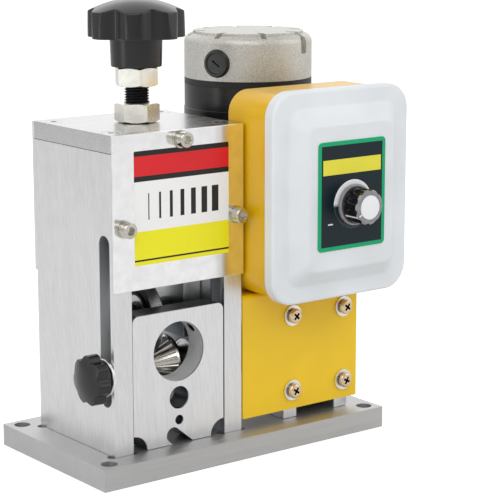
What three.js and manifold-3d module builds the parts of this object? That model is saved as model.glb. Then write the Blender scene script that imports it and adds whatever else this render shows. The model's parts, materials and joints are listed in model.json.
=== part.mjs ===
// Electric bench wire stripping machine, millimetres, +Z up.
// The part's origin is the centre of the base plate's underside, +X runs along the base's long side.
// The head, stand and controller are modelled in the head frame: X from the left side plate's outer
// face, Y from the side plates' front edges towards the back, Z from the base plate's top.
import * as THREE from 'three';
import { mergeVertices } from 'three/addons/utils/BufferGeometryUtils.js';
import Module from 'manifold-3d';

const wasm = await Module();
wasm.setup();

// Clearances and facet counts.
const seatGap = 0.1;
const runGap = 0.3;
const overrun = 1;
const weld = 0.0001;
const facets = { small: 8, medium: 20, large: 28, wheel: 40 };

// Driving dimensions.
const base = { length: 198.6, width: 107.7, thick: 12.5, hole: 4.65, holeInset: 8, pocket: 3,
  relief: 3, reliefInset: 2.7, screwHead: 5, screwHeadDepth: 5.5, screwHole: 2.8 };
const head = { insetX: 16.2, insetY: 14.4, width: 86.9, depth: 78.1, height: 177.6, topThick: 9.9,
  plate: 12.2, coverFoot: 92.2, coverThick: 2 };
const slot = { front: 8, halfWidth: 5, foot: 27.1, top: 122.5, groove: 4, grooveDepth: 6 };
const feed = { y: 39, z: 36, shaft: 6, band: 16.6, flank: 15.4, root: 6.4, rootHalf: 1, flankHalf: 15,
  shoulderHalf: 17, half: 18.5, collar: 8.5, flutes: 24, flute: 1, fluteProud: 0.1, fluteSides: 4,
  shaftEnd: 104, endRoom: 1.9 };
const bearing = { outer: 12, width: 6, shieldIn: 8, shieldOut: 10.6, shieldDepth: 0.5 };
const blade = { z: 67, radius: 24.2, bevelIn: 19.2, width: 8, edge: 0.2, stepIn: 14, stepOut: 17.6,
  stepDepth: 0.6, axle: 6, shoulder: 8 };
const carriage = { front: 22.1, depth: 33.9, cheek: 12, foot: 54, bridge: 94, top: 116, corner: 4,
  boss: 8 };
const screw = { radius: 7, collar: 11, collarThick: 5, keeperThick: 4, keeperWidth: 34, seat: 27.4,
  nutFlats: 22, nutHeight: 10.8, nutChamfer: 1.6 };
const knob = { clear: 9.1, lobes: 7, radius: 27.3, valley: 4.3, hubHeight: 16, lobeHeight: 14.6,
  dome: 7.1, hubTop: 14.7, hubFoot: 14.2, draft: 0.5, rim: 1.2,
  azimuth: 52.8 };
const guide = { front: 0.5, thick: 14, top: 77, gap: 0.5, corner: 4, scallop: 9, boreX: 43.4,
  bore: 17, boreZ: 53.4, midHole: 6.5, midZ: 26.8, smallHole: 2.75, smallZ: 13.9, notchX: 39.3,
  notchZ: 5.6, notch: 4.5, notchReach: 24, notchTilt: 40, crossHole: 3, crossZ: 64, pin: 3.6,
  pinSeat: 9, pinProud: 5 };
const lock = { z: 44.1, stud: 4, studDepth: 12, washer: 10.5, washerThick: 1.7, radius: 14, lobes: 7,
  valley: 2.3, hub: 9.6, hubLength: 3.2, rimLength: 6.8, rim: 0.8, dome: 3.2, seat: 8 };
const capScrew = { shank: 2.5, reach: 12, head: 4.25, headHeight: 5, socket: 2.3, socketDepth: 2.6,
  washer: 5, washerThick: 1, spring: 4.4, springThick: 1.2 };
const buttonScrew = { shank: 2.5, reach: 10, lockWall: 3, head: 4.75, headHeight: 2.75, crown: 3,
  socket: 1.8, socketDepth: 1.6 };
const flatScrew = { shank: 2.5, reach: 16, head: 5, headHeight: 2.8, socket: 1.8, socketDepth: 1.8,
  insetX: 7, insetY: 10 };
const panScrew = { shank: 2.5, reach: 9, head: 4.4, headHeight: 3.2, crown: 2.6, cross: 0.6,
  crossReach: 2.6, crossDepth: 1.4, washer: 6.2, washerThick: 1.2 };
const coupling = { radius: 12, from: 93, to: 116, screw: 2.2, slit: 1 };
const upright = { thick: 10, leftX: 118.4, rightX: 157, front: 1, back: 88, height: 76.9 };
const gearbox = { wheel: 30, towerHalf: 17, towerFoot: 4, boss: 15, flange: 38.5, flangeCorner: 9,
  flangeThick: 6 };
const motor = { y: 66.5, radius: 38.5, yokeHeight: 108, capRadius: 38.2, capHeight: 31, shoulder: 5,
  crown: 33, crownStep: 1.4, vents: 8, ventReach: 29.5, vent: 1.8, ventLength: 8, ventDepth: 3,
  notchWidth: 6, notchDepth: 3, notchHeight: 9.6, notchDrop: 1.4, notchAzimuth: 292 };
const brush = { radius: 8.1, drop: 17, azimuth: 204, seat: 6, proud: 1.5, slot: 0.8, slotDepth: 1.2,
  slotTilt: 55 };
const standCover = { left: 87.5, right: 173, foot: 6, thick: 1.5, shelfBack: 25, screwDrop: 14.5,
  screwZ: 17.5 };
const box = { left: 88.6, width: 95, height: 115.7, depth: 37, front: -21.5, wall: 2, corner: 13,
  post: 4, postHeight: 6 };
const cover = { lip: 2, corner: 14.5, rimWall: 4, band: 6, round: 1.4, rimInset: 9.8, rimRound: 0.5,
  rimCorner: 9, slope: 8, flatRound: 1, flatCorner: 6, rise: 7.9, wall: 2, arcSteps: 5 };
const dial = { rise: 53.3, bezel: 14, bezelThick: 1, bush: 3.5, shaft: 3, shaftReach: 9, skirt: 11.7,
  skirtThick: 2, body: 9.9, valley: 1, flutes: 10, height: 13.7, inlay: 6.8, inlayProud: 0.4,
  potBody: 8, potDepth: 9 };
const board = { width: 66, height: 84, thick: 1.6, post: 5, sinkWidth: 34, sinkHeight: 4, finHeight: 11,
  fins: 5, fin: 1.6, can: 6, canLength: 18, terminal: 8, terminalWidth: 40 };
const gland = { rise: 13.4, flange: 9, flangeThick: 1.4, barrel: 6, hex: 16, hexLength: 4, nose: 6.6,
  noseLength: 6, bore: 3.2 };

const innerLeft = head.plate;
const innerRight = head.width - head.plate;
const middleX = head.width / 2;
const middleY = feed.y;
const undersideTop = head.height - head.topThick;
const bottomZ = -base.pocket + seatGap;
const lockReach = head.depth - feed.y - bearing.outer - buttonScrew.lockWall;
const jamFoot = head.height + runGap + screw.nutHeight + knob.clear;
const knobFoot = jamFoot + screw.nutHeight + seatGap;
const knobTurn = THREE.MathUtils.degToRad(knob.azimuth);

// Solid helpers: three.js makes each form, manifold-3d joins and cuts.

function toSolid(geometry) {
  const bare = geometry.clone();
  bare.deleteAttribute('normal');
  bare.deleteAttribute('uv');
  const merged = mergeVertices(bare, weld);
  const points = merged.attributes.position.array;
  let corners = [];
  for (let i = 0; i < merged.index.count; i += 3) {
    const [a, b, c] = [merged.index.getX(i), merged.index.getX(i + 1), merged.index.getX(i + 2)];
    if (a !== b && b !== c && c !== a) corners.push(a, b, c);
  }
  if (signedVolume(points, corners) < 0) corners = corners.reverse();
  return new wasm.Manifold(new wasm.Mesh({
    numProp: 3, vertProperties: Float32Array.from(points), triVerts: Uint32Array.from(corners),
  }));
}

function signedVolume(points, corners) {
  const corner = (k) => new THREE.Vector3().fromArray(points, 3 * corners[k]);
  let sum = 0;
  for (let i = 0; i < corners.length; i += 3) sum += corner(i).dot(corner(i + 1).cross(corner(i + 2)));
  return sum;
}

function toGeometry(solid) {
  const mesh = solid.getMesh();
  const geometry = new THREE.BufferGeometry();
  geometry.setAttribute('position', new THREE.BufferAttribute(mesh.vertProperties, 3));
  geometry.setIndex(new THREE.BufferAttribute(mesh.triVerts, 1));
  geometry.computeVertexNormals();
  return geometry;
}

const unionOf = (solids) => solids.reduce((all, one) => all.add(one));
const cutAll = (solid, cutters) => solid.subtract(unionOf(cutters));

function block(x, y, z) {
  const geometry = new THREE.BoxGeometry(x[1] - x[0], y[1] - y[0], z[1] - z[0]);
  return toSolid(geometry.translate((x[0] + x[1]) / 2, (y[0] + y[1]) / 2, (z[0] + z[1]) / 2));
}

// Turns a form built along +Z, with its outline in X and Y, to lie along the named axis:
// along X the outline is (Y, Z), along Y it is (X, Z).
function lay(geometry, axis, at = [0, 0], from = 0) {
  const [u, v] = at;
  const turn = new THREE.Matrix4();
  const [X, Y, Z] = [new THREE.Vector3(1, 0, 0), new THREE.Vector3(0, 1, 0), new THREE.Vector3(0, 0, 1)];
  if (axis === 'x') turn.makeBasis(Y, Z, X).setPosition(from, u, v);
  if (axis === 'y') turn.makeBasis(X, Z, Y).setPosition(u, from, v);
  if (axis === 'z') turn.makeBasis(X, Y, Z).setPosition(u, v, from);
  return geometry.applyMatrix4(turn);
}

function rod(axis, radius, from, to, at, sides = facets.medium) {
  const upright = new THREE.CylinderGeometry(radius, radius, to - from, sides).rotateX(Math.PI / 2);
  return toSolid(lay(upright.translate(0, 0, (to - from) / 2), axis, at, from));
}

// A turned piece: profile points are [radius, distance along the axis].
function turned(axis, profile, at = [0, 0], sides = facets.medium) {
  const points = profile.map(([r, along]) => new THREE.Vector2(r, along));
  return toSolid(lay(new THREE.LatheGeometry(points, sides).rotateX(Math.PI / 2), axis, at));
}

function slab(axis, shape, from, to) {
  const geometry = new THREE.ExtrudeGeometry(shape, {
    depth: to - from, bevelEnabled: false, curveSegments: facets.small / 2,
  });
  return toSolid(lay(geometry, axis, [0, 0], from));
}

function hexagon(flats, at = [0, 0], turn = 0) {
  const shape = new THREE.Shape();
  for (let i = 0; i < 6; i += 1) {
    const angle = turn + i * Math.PI / 3;
    const reach = flats / Math.sqrt(3);
    shape[i ? 'lineTo' : 'moveTo'](at[0] + reach * Math.cos(angle), at[1] + reach * Math.sin(angle));
  }
  return shape;
}

function roundedRectangle(x0, x1, y0, y1, r) {
  const shape = new THREE.Shape();
  shape.moveTo(x0 + r, y0).lineTo(x1 - r, y0).absarc(x1 - r, y0 + r, r, -Math.PI / 2, 0);
  shape.lineTo(x1, y1 - r).absarc(x1 - r, y1 - r, r, 0, Math.PI / 2);
  shape.lineTo(x0 + r, y1).absarc(x0 + r, y1 - r, r, Math.PI / 2, Math.PI);
  shape.lineTo(x0, y0 + r).absarc(x0 + r, y0 + r, r, Math.PI, 1.5 * Math.PI);
  return shape;
}

function obround(from, to, r) {
  const angle = Math.atan2(to[1] - from[1], to[0] - from[0]);
  const shape = new THREE.Shape();
  shape.absarc(to[0], to[1], r, angle - Math.PI / 2, angle + Math.PI / 2);
  shape.absarc(from[0], from[1], r, angle + Math.PI / 2, angle + 1.5 * Math.PI);
  return shape;
}

// Closes a stack of equal rings of points into one body, with a fan at each end.
function loft(rings) {
  const size = rings[0].length;
  const middle = (ring) => ring.reduce((sum, p) => sum.add(p), new THREE.Vector3()).divideScalar(size);
  const points = [...rings.flat(), middle(rings[0]), middle(rings.at(-1))];
  const corners = [];
  const [first, last] = [points.length - 2, points.length - 1];
  for (let i = 0; i < size; i += 1) {
    const j = (i + 1) % size;
    for (let k = 0; k + 1 < rings.length; k += 1) {
      const [a, b] = [k * size, (k + 1) * size];
      corners.push(a + i, a + j, b + j, a + i, b + j, b + i);
    }
    corners.push(first, j, i, last, last - 1 - size + i, last - 1 - size + j);
  }
  const geometry = new THREE.BufferGeometry().setFromPoints(points);
  geometry.setIndex(corners);
  return toSolid(geometry);
}

const material = (colour, roughness, metalness) => (
  new THREE.MeshStandardMaterial({ color: colour, roughness, metalness }));

const finish = {
  aluminium: material('#c9cacb', 0.4, 1),
  polished: material('#e9e9ea', 0.15, 1),
  nickel: material('#dcd7c8', 0.22, 1),
  steel: material('#b9b9b8', 0.3, 1),
  blackSteel: material('#1d1d1f', 0.45, 1),
  blackPlastic: material('#2d2d2f', 0.5, 0),
  yellow: material('#dcb92e', 0.4, 0),
  grey: material('#d3d8db', 0.45, 0),
  casting: material('#b7b7b0', 0.6, 1),
  blackPaint: material('#2f2f33', 0.4, 0),
  board: material('#2f6b45', 0.5, 0),
};

const part = new THREE.Group();
const machine = new THREE.Group();
machine.position.set(-base.length / 2 + head.insetX, -base.width / 2 + head.insetY, base.thick);
part.add(machine);

function place(name, solid, look, position = [0, 0, 0], rotation = [0, 0, 0]) {
  const mesh = new THREE.Mesh(toGeometry(solid), look.clone());
  mesh.name = name;
  mesh.position.set(...position);
  mesh.rotation.set(...rotation);
  machine.add(mesh);
}

// Fasteners, each modelled standing on z = 0 with its shank below.

function shankAndHead(size, profile) {
  return turned('z', [[0, -size.reach], [size.shank, -size.reach], ...profile], [0, 0], facets.small);
}

function makeCapScrew() {
  const washerTop = capScrew.washerThick;
  const foot = washerTop + capScrew.springThick;
  const top = foot + capScrew.headHeight;
  const body = shankAndHead(capScrew, [[capScrew.shank, 0], [capScrew.washer, 0],
    [capScrew.washer, washerTop], [capScrew.spring, washerTop], [capScrew.spring, foot],
    [capScrew.head, foot], [capScrew.head, top], [0, top]]);
  return body.subtract(slab('z', hexagon(2 * capScrew.socket), top - capScrew.socketDepth, top + overrun));
}

function makeButtonScrew(reach) {
  const { shank, head: rim, headHeight, crown, socket, socketDepth } = buttonScrew;
  const body = shankAndHead({ shank, reach }, [[shank, 0], [rim, 0], [rim, headHeight / 4],
    [(rim + crown) / 2, headHeight * 3 / 4], [crown, headHeight], [0, headHeight]]);
  return body.subtract(slab('z', hexagon(2 * socket), headHeight - socketDepth, headHeight + overrun));
}

function makeFlatScrew() {
  const { shank, reach, head: rim, headHeight, socket, socketDepth } = flatScrew;
  const body = turned('z', [[0, -reach], [shank, -reach], [shank, -headHeight], [rim, 0], [0, 0]],
    [0, 0], facets.small);
  return body.subtract(slab('z', hexagon(2 * socket), -socketDepth, overrun));
}

function makePanScrew() {
  const { shank, head: rim, headHeight, crown, cross, crossReach, crossDepth } = panScrew;
  const body = shankAndHead(panScrew, [[shank, 0], [rim, 0], [rim, headHeight / 2],
    [crown, headHeight], [0, headHeight]]);
  const z = [headHeight - crossDepth, headHeight + overrun];
  return body.subtract(block([-crossReach, crossReach], [-cross, cross], z)
    .add(block([-cross, cross], [-crossReach, crossReach], z)));
}

function makeWasher(radius, hole, thick, sides = facets.medium) {
  return turned('z', [[hole, 0], [radius, 0], [radius, thick], [hole, thick], [hole, 0]], [0, 0], sides);
}

function makeNut(turn) {
  const corner = screw.nutFlats / Math.sqrt(3);
  const { nutChamfer, nutHeight } = screw;
  const prism = slab('z', hexagon(screw.nutFlats, [0, 0], turn), 0, nutHeight);
  const crown = screw.nutFlats / 2;
  const cone = turned('z', [[0, 0], [crown, 0], [corner + seatGap, nutChamfer],
    [corner + seatGap, nutHeight - nutChamfer], [crown, nutHeight], [0, nutHeight]]);
  return prism.intersect(cone);
}

// Base and head frame.

function corners(halfX, halfY) {
  return [[-halfX, -halfY], [halfX, -halfY], [halfX, halfY], [-halfX, halfY]];
}

function platePocket(left) {
  const x = [left - runGap, left + head.plate + runGap];
  const y = [-runGap, head.depth + runGap];
  const reliefs = [y[0] + base.reliefInset, y[1] - base.reliefInset].flatMap((at) => (
    x.map((edge) => rod('z', base.relief, -base.pocket, overrun, [edge, at], facets.small))));
  return unionOf([block(x, y, [-base.pocket, overrun]), ...reliefs]);
}

function underScrewPlaces() {
  const y = [head.depth / 5, head.depth * 4 / 5];
  const plates = [head.plate / 2, head.width - head.plate / 2];
  const uprights = [upright.leftX, upright.rightX].map((x) => x + upright.thick / 2);
  return [...plates, ...uprights].flatMap((x) => y.map((at) => [x, at]));
}

function makeBase() {
  const [x0, y0] = [-head.insetX, -head.insetY];
  const plate = block([x0, x0 + base.length], [y0, y0 + base.width], [-base.thick, 0]);
  const middle = [x0 + base.length / 2, y0 + base.width / 2];
  const holes = corners(base.length / 2 - base.holeInset, base.width / 2 - base.holeInset).map(([x, y]) => (
    rod('z', base.hole, -base.thick - overrun, overrun, [middle[0] + x, middle[1] + y])));
  const screws = underScrewPlaces().flatMap((at) => [
    rod('z', base.screwHead, -base.thick - overrun, -base.thick + base.screwHeadDepth, at, facets.small),
    rod('z', base.screwHole, -base.thick, overrun, at, facets.small)]);
  return cutAll(plate, [...holes, platePocket(0), platePocket(innerRight), ...screws]);
}

function coverScrewPlaces() {
  const z = (slot.top + undersideTop) / 2 - (undersideTop - slot.top) * 2 / 5;
  return { top: [middleX, head.height - head.topThick / 2],
    left: [head.plate / 2, z], right: [head.width - head.plate / 2, z] };
}

// Threaded holes for the front and rear covers' side screws, drilled into a side plate's edges.
function edgeHoles(place, hole, reach) {
  return [rod('y', hole, -overrun, reach + runGap, place, facets.small),
    rod('y', hole, head.depth - reach - runGap, head.depth + overrun, place, facets.small)];
}

function flatScrewHoles() {
  const x = [flatScrew.insetX, head.width - flatScrew.insetX];
  const y = [flatScrew.insetY, head.depth - flatScrew.insetY];
  return x.flatMap((at) => y.map((depth) => [at, depth]));
}

function flatScrewCut(at) {
  const { shank, reach, head: rim, headHeight } = flatScrew;
  const top = head.height;
  return turned('z', [[0, top - reach - runGap], [shank + runGap, top - reach - runGap],
    [shank + runGap, top - headHeight], [rim + runGap, top], [rim + runGap, top + overrun],
    [0, top + overrun]], at, facets.small);
}

function sidePlate(outer, inner, coverScrew) {
  const x = [outer, inner].sort((a, b) => a - b);
  const blank = block(x, [0, head.depth], [bottomZ, undersideTop - seatGap]);
  const inward = Math.sign(inner - outer);
  const seat = [inner - inward * (bearing.width + seatGap), inner + inward * overrun];
  const [from, to] = seat.sort((a, b) => a - b);
  const middle = (outer + inner) / 2;
  return cutAll(blank, [
    rod('x', bearing.outer + seatGap, from, to, [feed.y, feed.z]),
    ...edgeHoles(coverScrew, capScrew.shank + runGap, capScrew.reach),
    rod('y', buttonScrew.shank + runGap, head.depth - lockReach - runGap,
      head.depth + overrun, [middle, feed.z], facets.small),
    ...flatScrewHoles().filter(([x]) => Math.abs(x - middle) < head.plate).map(flatScrewCut)]);
}

const slotShape = (halfWidth) => (
  obround([slot.front, slot.foot + halfWidth], [slot.front, slot.top - halfWidth], halfWidth));

function makeLeftPlate() {
  return cutAll(sidePlate(0, innerLeft, coverScrewPlaces().left), [
    slab('x', slotShape(slot.halfWidth), -overrun, innerLeft + overrun),
    rod('x', feed.collar, innerLeft - bearing.width - feed.endRoom, innerLeft, [feed.y, feed.z])]);
}

function makeRightPlate() {
  return cutAll(sidePlate(head.width, innerRight, coverScrewPlaces().right), [
    slab('x', slotShape(slot.groove), innerRight - overrun, innerRight + slot.grooveDepth),
    rod('x', feed.collar, innerRight, head.width + overrun, [feed.y, feed.z])]);
}

function makeTopPlate() {
  const blank = block([0, head.width], [0, head.depth], [undersideTop, head.height]);
  const edge = coverScrewPlaces().top;
  return cutAll(blank, [
    rod('z', screw.radius + runGap, undersideTop - overrun, head.height + overrun, [middleX, middleY]),
    ...edgeHoles(edge, capScrew.shank + runGap, capScrew.reach), ...flatScrewHoles().map(flatScrewCut)]);
}

function makeHeadCover() {
  const sheet = block([0, head.width], [0, head.coverThick], [head.coverFoot, head.height]);
  return cutAll(sheet, Object.values(coverScrewPlaces()).map((at) => (
    rod('y', capScrew.shank + runGap, -overrun, head.coverThick + overrun, at, facets.small))));
}

function addHeadFrame() {
  place('base_plate', makeBase(), finish.aluminium);
  place('left_side_plate', makeLeftPlate(), finish.aluminium);
  place('right_side_plate', makeRightPlate(), finish.aluminium);
  place('top_plate', makeTopPlate(), finish.aluminium);
  const front = -seatGap - head.coverThick;
  const back = head.depth + seatGap;
  place('front_cover', makeHeadCover(), finish.polished, [0, front, 0]);
  place('rear_cover', makeHeadCover(), finish.aluminium, [0, back, 0]);
  for (const [side, [x, z]] of Object.entries(coverScrewPlaces())) {
    place(`front_cover_screw_${side}`, makeCapScrew(), finish.nickel,
      [x, front - seatGap, z], [Math.PI / 2, 0, 0]);
    place(`rear_cover_screw_${side}`, makeButtonScrew(buttonScrew.reach), finish.nickel,
      [x, back + head.coverThick + seatGap, z], [-Math.PI / 2, 0, 0]);
  }
  flatScrewHoles().forEach(([x, y], i) => {
    place(`top_plate_screw_${i + 1}`, makeFlatScrew(), finish.nickel, [x, y, head.height]);
  });
  for (const [side, x] of [['left', head.plate / 2], ['right', head.width - head.plate / 2]]) {
    place(`bearing_lock_screw_${side}`, makeButtonScrew(lockReach), finish.nickel,
      [x, head.depth + seatGap, feed.z], [-Math.PI / 2, 0, 0]);
  }
}

// Feed roller, its bearings and the drive coupling.

function makeBearing(hole) {
  const half = bearing.width / 2;
  const dip = half - bearing.shieldDepth;
  const { outer, shieldIn, shieldOut } = bearing;
  return turned('x', [[hole, -half], [shieldIn, -half], [shieldIn, -dip], [shieldOut, -dip],
    [shieldOut, -half], [outer, -half], [outer, half], [shieldOut, half], [shieldOut, dip],
    [shieldIn, dip], [shieldIn, half], [hole, half], [hole, -half]]);
}

function rollerProfile() {
  const { root, rootHalf, flank, flankHalf, band, shoulderHalf, half, collar, shaft } = feed;
  const right = [[root, rootHalf], [flank, flankHalf], [band, shoulderHalf], [band, half], [collar, half]];
  const left = right.map(([r, x]) => [r, -x]).reverse();
  const journal = innerLeft - middleX;
  const end = journal - bearing.width;
  return [[0, end], [shaft, end], [shaft, journal + runGap], [collar, journal + runGap], ...left, ...right,
    [collar, -journal - runGap], [shaft, -journal - runGap], [shaft, feed.shaftEnd - middleX],
    [0, feed.shaftEnd - middleX]];
}

// One flute along the right flank, before it is turned round the axis.
function flankFlute() {
  const run = feed.flankHalf - feed.rootHalf;
  const rise = feed.flank - feed.root;
  const { flute, fluteSides, rootHalf, fluteProud } = feed;
  const cutter = new THREE.CylinderGeometry(flute, flute, Math.hypot(run, rise), fluteSides);
  cutter.rotateZ(-Math.PI / 2 + Math.atan2(rise, run));
  return cutter.translate(rootHalf + run / 2, (feed.root + feed.flank) / 2 + fluteProud, 0);
}

function makeRoller() {
  const flutes = [];
  for (let i = 0; i < feed.flutes; i += 1) {
    const angle = 2 * Math.PI * i / feed.flutes;
    flutes.push(toSolid(flankFlute().rotateX(angle)), toSolid(flankFlute().rotateY(Math.PI).rotateX(angle)));
  }
  return cutAll(turned('x', rollerProfile(), [0, 0], feed.flutes), flutes);
}

function makeCoupling() {
  const { radius, from, to, screw: hole, slit } = coupling;
  const [mid, quarter] = [(from + to) / 2, (to - from) / 4];
  const sleeve = turned('x', [[feed.shaft + seatGap, from], [radius, from], [radius, to],
    [feed.shaft + seatGap, to], [feed.shaft + seatGap, from]], [0, 0], facets.medium);
  return cutAll(sleeve, [rod('z', hole, 0, radius + overrun, [mid - quarter, 0], facets.small),
    rod('z', hole, 0, radius + overrun, [mid + quarter, 0], facets.small),
    block([from - overrun, to + overrun], [-radius - overrun, 0], [-slit / 2, slit / 2])]);
}

function addFeed() {
  const axis = [feed.y, feed.z];
  const hole = feed.shaft + runGap;
  place('feed_roller', makeRoller(), finish.steel, [middleX, ...axis]);
  place('roller_bearing_left', makeBearing(hole), finish.steel, [innerLeft - bearing.width / 2, ...axis]);
  place('roller_bearing_right', makeBearing(hole), finish.steel, [innerRight + bearing.width / 2, ...axis]);
  place('shaft_coupling', makeCoupling(), finish.aluminium, [0, ...axis]);
  place('output_shaft', rod('x', feed.shaft, feed.shaftEnd + runGap, outputEnd(), axis), finish.steel);
}

// Blade carriage, its wheel and the adjusting screw.

const carriageX = [innerLeft + runGap, innerRight - runGap];
const carriageY = [carriage.front, carriage.front + carriage.depth];

function makeCarriage() {
  const { cheek, foot, bridge, top, corner, boss } = carriage;
  const [x0, x1] = carriageX;
  const outline = new THREE.Shape();
  outline.moveTo(x0, foot).lineTo(x0 + cheek, foot).lineTo(x0 + cheek, bridge - corner);
  outline.absarc(x0 + cheek + corner, bridge - corner, corner, Math.PI, Math.PI / 2, true);
  outline.lineTo(x1 - cheek - corner, bridge);
  outline.absarc(x1 - cheek - corner, bridge - corner, corner, Math.PI / 2, 0, true);
  outline.lineTo(x1 - cheek, foot).lineTo(x1, foot).lineTo(x1, top).lineTo(x0, top);
  const axle = [middleY, blade.z];
  const bossEnd = middleX + bearing.width / 2 + runGap;
  const body = slab('y', outline, ...carriageY).add(rod('x', boss, bossEnd, x1 - cheek + overrun, axle));
  const collarZ = top - screw.keeperThick - screw.collarThick - 2 * runGap;
  const keeperHalf = screw.keeperWidth / 2 + runGap;
  return cutAll(body, [
    rod('x', blade.shoulder + seatGap, x0 - overrun, x0 + cheek + overrun, axle),
    rod('x', blade.axle + seatGap, bossEnd - overrun, x1 + overrun, axle),
    rod('z', screw.collar + runGap, collarZ, top + overrun, [middleX, middleY]),
    block([middleX - keeperHalf, middleX + keeperHalf], [middleY - keeperHalf, middleY + keeperHalf],
      [top - screw.keeperThick, top + overrun])]);
}

function makeKeeper() {
  const half = screw.keeperWidth / 2;
  const [x, y] = [[middleX - half, middleX + half], [middleY - half, middleY + half]];
  const foot = carriage.top - screw.keeperThick + seatGap;
  const plate = block(x, y, [foot, carriage.top]);
  return plate.subtract(rod('z', screw.radius + runGap, foot - overrun, carriage.top + overrun,
    [middleX, middleY]));
}

function makeBladeWheel() {
  const { radius, bevelIn, width, edge, stepIn, stepOut, stepDepth } = blade;
  const half = width / 2;
  const dip = half - stepDepth;
  const hole = bearing.outer + seatGap;
  const side = [[hole, half], [stepIn, half], [stepIn, dip], [stepOut, dip], [stepOut, half],
    [bevelIn, half], [radius, edge]];
  const mirrored = side.map(([r, x]) => [r, -x]).reverse();
  return turned('x', [...side, ...mirrored, [hole, half]], [0, 0], facets.wheel);
}

function makeBladeAxle() {
  const [x0, x1] = carriageX;
  const shoulder = middleX - bearing.width / 2 - seatGap;
  return turned('x', [[0, x0 + runGap], [blade.shoulder, x0 + runGap], [blade.shoulder, shoulder],
    [blade.axle, shoulder], [blade.axle, x1 - runGap], [0, x1 - runGap]], [middleY, blade.z]);
}

function makeStud() {
  const { radius, collar, collarThick, keeperThick, seat } = screw;
  const top = knobFoot + seat;
  const collarTop = carriage.top - keeperThick - runGap;
  const foot = collarTop - collarThick;
  return turned('z', [[0, foot], [collar, foot], [collar, collarTop], [radius, collarTop],
    [radius, top], [0, top]], [middleX, middleY]);
}

// Ring of a star knob: round, with a narrow valley between each pair of lobes.
function lobedRing(lobes, radius, valley, z, steps = 8) {
  const ring = [];
  const count = lobes * steps;
  for (let i = 0; i < count; i += 1) {
    const angle = 2 * Math.PI * i / count;
    const dip = ((1 - Math.cos(lobes * angle)) / 2) ** 3;
    const r = radius - valley * dip;
    ring.push(new THREE.Vector3(r * Math.cos(angle), r * Math.sin(angle), z));
  }
  return ring;
}

function domeRings(lobes, radius, valley, foot, rise) {
  const shares = [0, 0.3, 0.55, 0.78, 0.94];
  return shares.map((share) => {
    const reach = radius * Math.cos(share * Math.PI / 2);
    return lobedRing(lobes, reach, valley * (1 - share) ** 2, foot + rise * Math.sin(share * Math.PI / 2));
  });
}

function makeStarKnob() {
  const { lobes, radius, valley, hubHeight, lobeHeight, dome, hubTop, hubFoot, draft, rim } = knob;
  const lobeTop = hubHeight + lobeHeight;
  const star = loft([
    lobedRing(lobes, radius + draft - rim / 2, valley, hubHeight),
    lobedRing(lobes, radius + draft, valley, hubHeight + rim),
    lobedRing(lobes, radius, valley, lobeTop - rim / 2),
    ...domeRings(lobes, radius - rim / 2, valley, lobeTop, dome)]);
  const hub = turned('z', [[0, 0], [hubFoot - rim / 2, 0], [hubFoot, rim],
    [hubTop, hubHeight + overrun], [0, hubHeight + overrun]], [0, 0], facets.large);
  return star.add(hub).subtract(rod('z', screw.radius + seatGap, -overrun, screw.seat + runGap, [0, 0]));
}

function addBladeAndScrew() {
  const bore = (nut, radius) => nut.subtract(rod('z', radius, -overrun, screw.nutHeight + overrun, [0, 0]));
  place('blade_carriage', makeCarriage(), finish.aluminium);
  place('stud_keeper', makeKeeper(), finish.steel);
  place('blade_axle', makeBladeAxle(), finish.steel);
  place('blade_wheel', makeBladeWheel(), finish.blackSteel, [middleX, middleY, blade.z]);
  place('blade_bearing', makeBearing(blade.axle + runGap), finish.steel, [middleX, middleY, blade.z]);
  place('adjusting_stud', makeStud(), finish.blackSteel);
  place('adjusting_locknut', bore(makeNut(knobTurn), screw.radius + runGap), finish.nickel,
    [middleX, middleY, head.height + runGap]);
  place('jam_nut', bore(makeNut(knobTurn - Math.PI / 10), screw.radius + seatGap), finish.nickel,
    [middleX, middleY, jamFoot]);
  place('adjusting_knob', makeStarKnob(), finish.blackPlastic, [middleX, middleY, knobFoot],
    [0, 0, Math.PI + knobTurn]);
}

// Cable guide block and its lock.

function guideOutline() {
  const { gap, top, corner, scallop } = guide;
  const [x0, x1, foot] = [innerLeft + gap, innerRight - gap, runGap];
  const outline = new THREE.Shape();
  outline.moveTo(x0 + scallop, foot).lineTo(x1 - scallop, foot);
  outline.absarc(x1, foot, scallop, Math.PI, Math.PI / 2, true);
  outline.lineTo(x1, top - corner).absarc(x1 - corner, top - corner, corner, 0, Math.PI / 2);
  outline.lineTo(x0 + corner, top).absarc(x0 + corner, top - corner, corner, Math.PI / 2, Math.PI);
  outline.lineTo(x0, foot + scallop).absarc(x0, foot, scallop, Math.PI / 2, 0, true);
  return outline;
}

function makeGuide() {
  const { front, thick, boreX, bore, boreZ, midHole, midZ, smallHole, smallZ, notch, notchX, notchZ,
    notchReach, notchTilt, pin, pinSeat, crossHole, crossZ, gap } = guide;
  const [from, to] = [front - overrun, front + thick + overrun];
  const tilt = THREE.MathUtils.degToRad(notchTilt);
  const notchEnd = [notchX + notchReach * Math.cos(tilt), notchZ - notchReach * Math.sin(tilt)];
  const studEnd = innerLeft + gap + lock.studDepth;
  const pinEnd = innerRight - gap - pinSeat;
  return cutAll(slab('y', guideOutline(), front, front + thick), [
    rod('y', bore, from, to, [boreX, boreZ], facets.large), rod('y', midHole, from, to, [boreX, midZ]),
    rod('y', smallHole, from, to, [boreX, smallZ], facets.small),
    slab('y', obround([notchX, notchZ], notchEnd, notch), from, to),
    rod('x', lock.stud + seatGap, innerLeft, studEnd + runGap, [slot.front, lock.z]),
    rod('x', pin + seatGap, pinEnd - runGap, innerRight, [slot.front, lock.z]),
    rod('x', crossHole, boreX, innerRight, [slot.front, crossZ])]);
}

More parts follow.
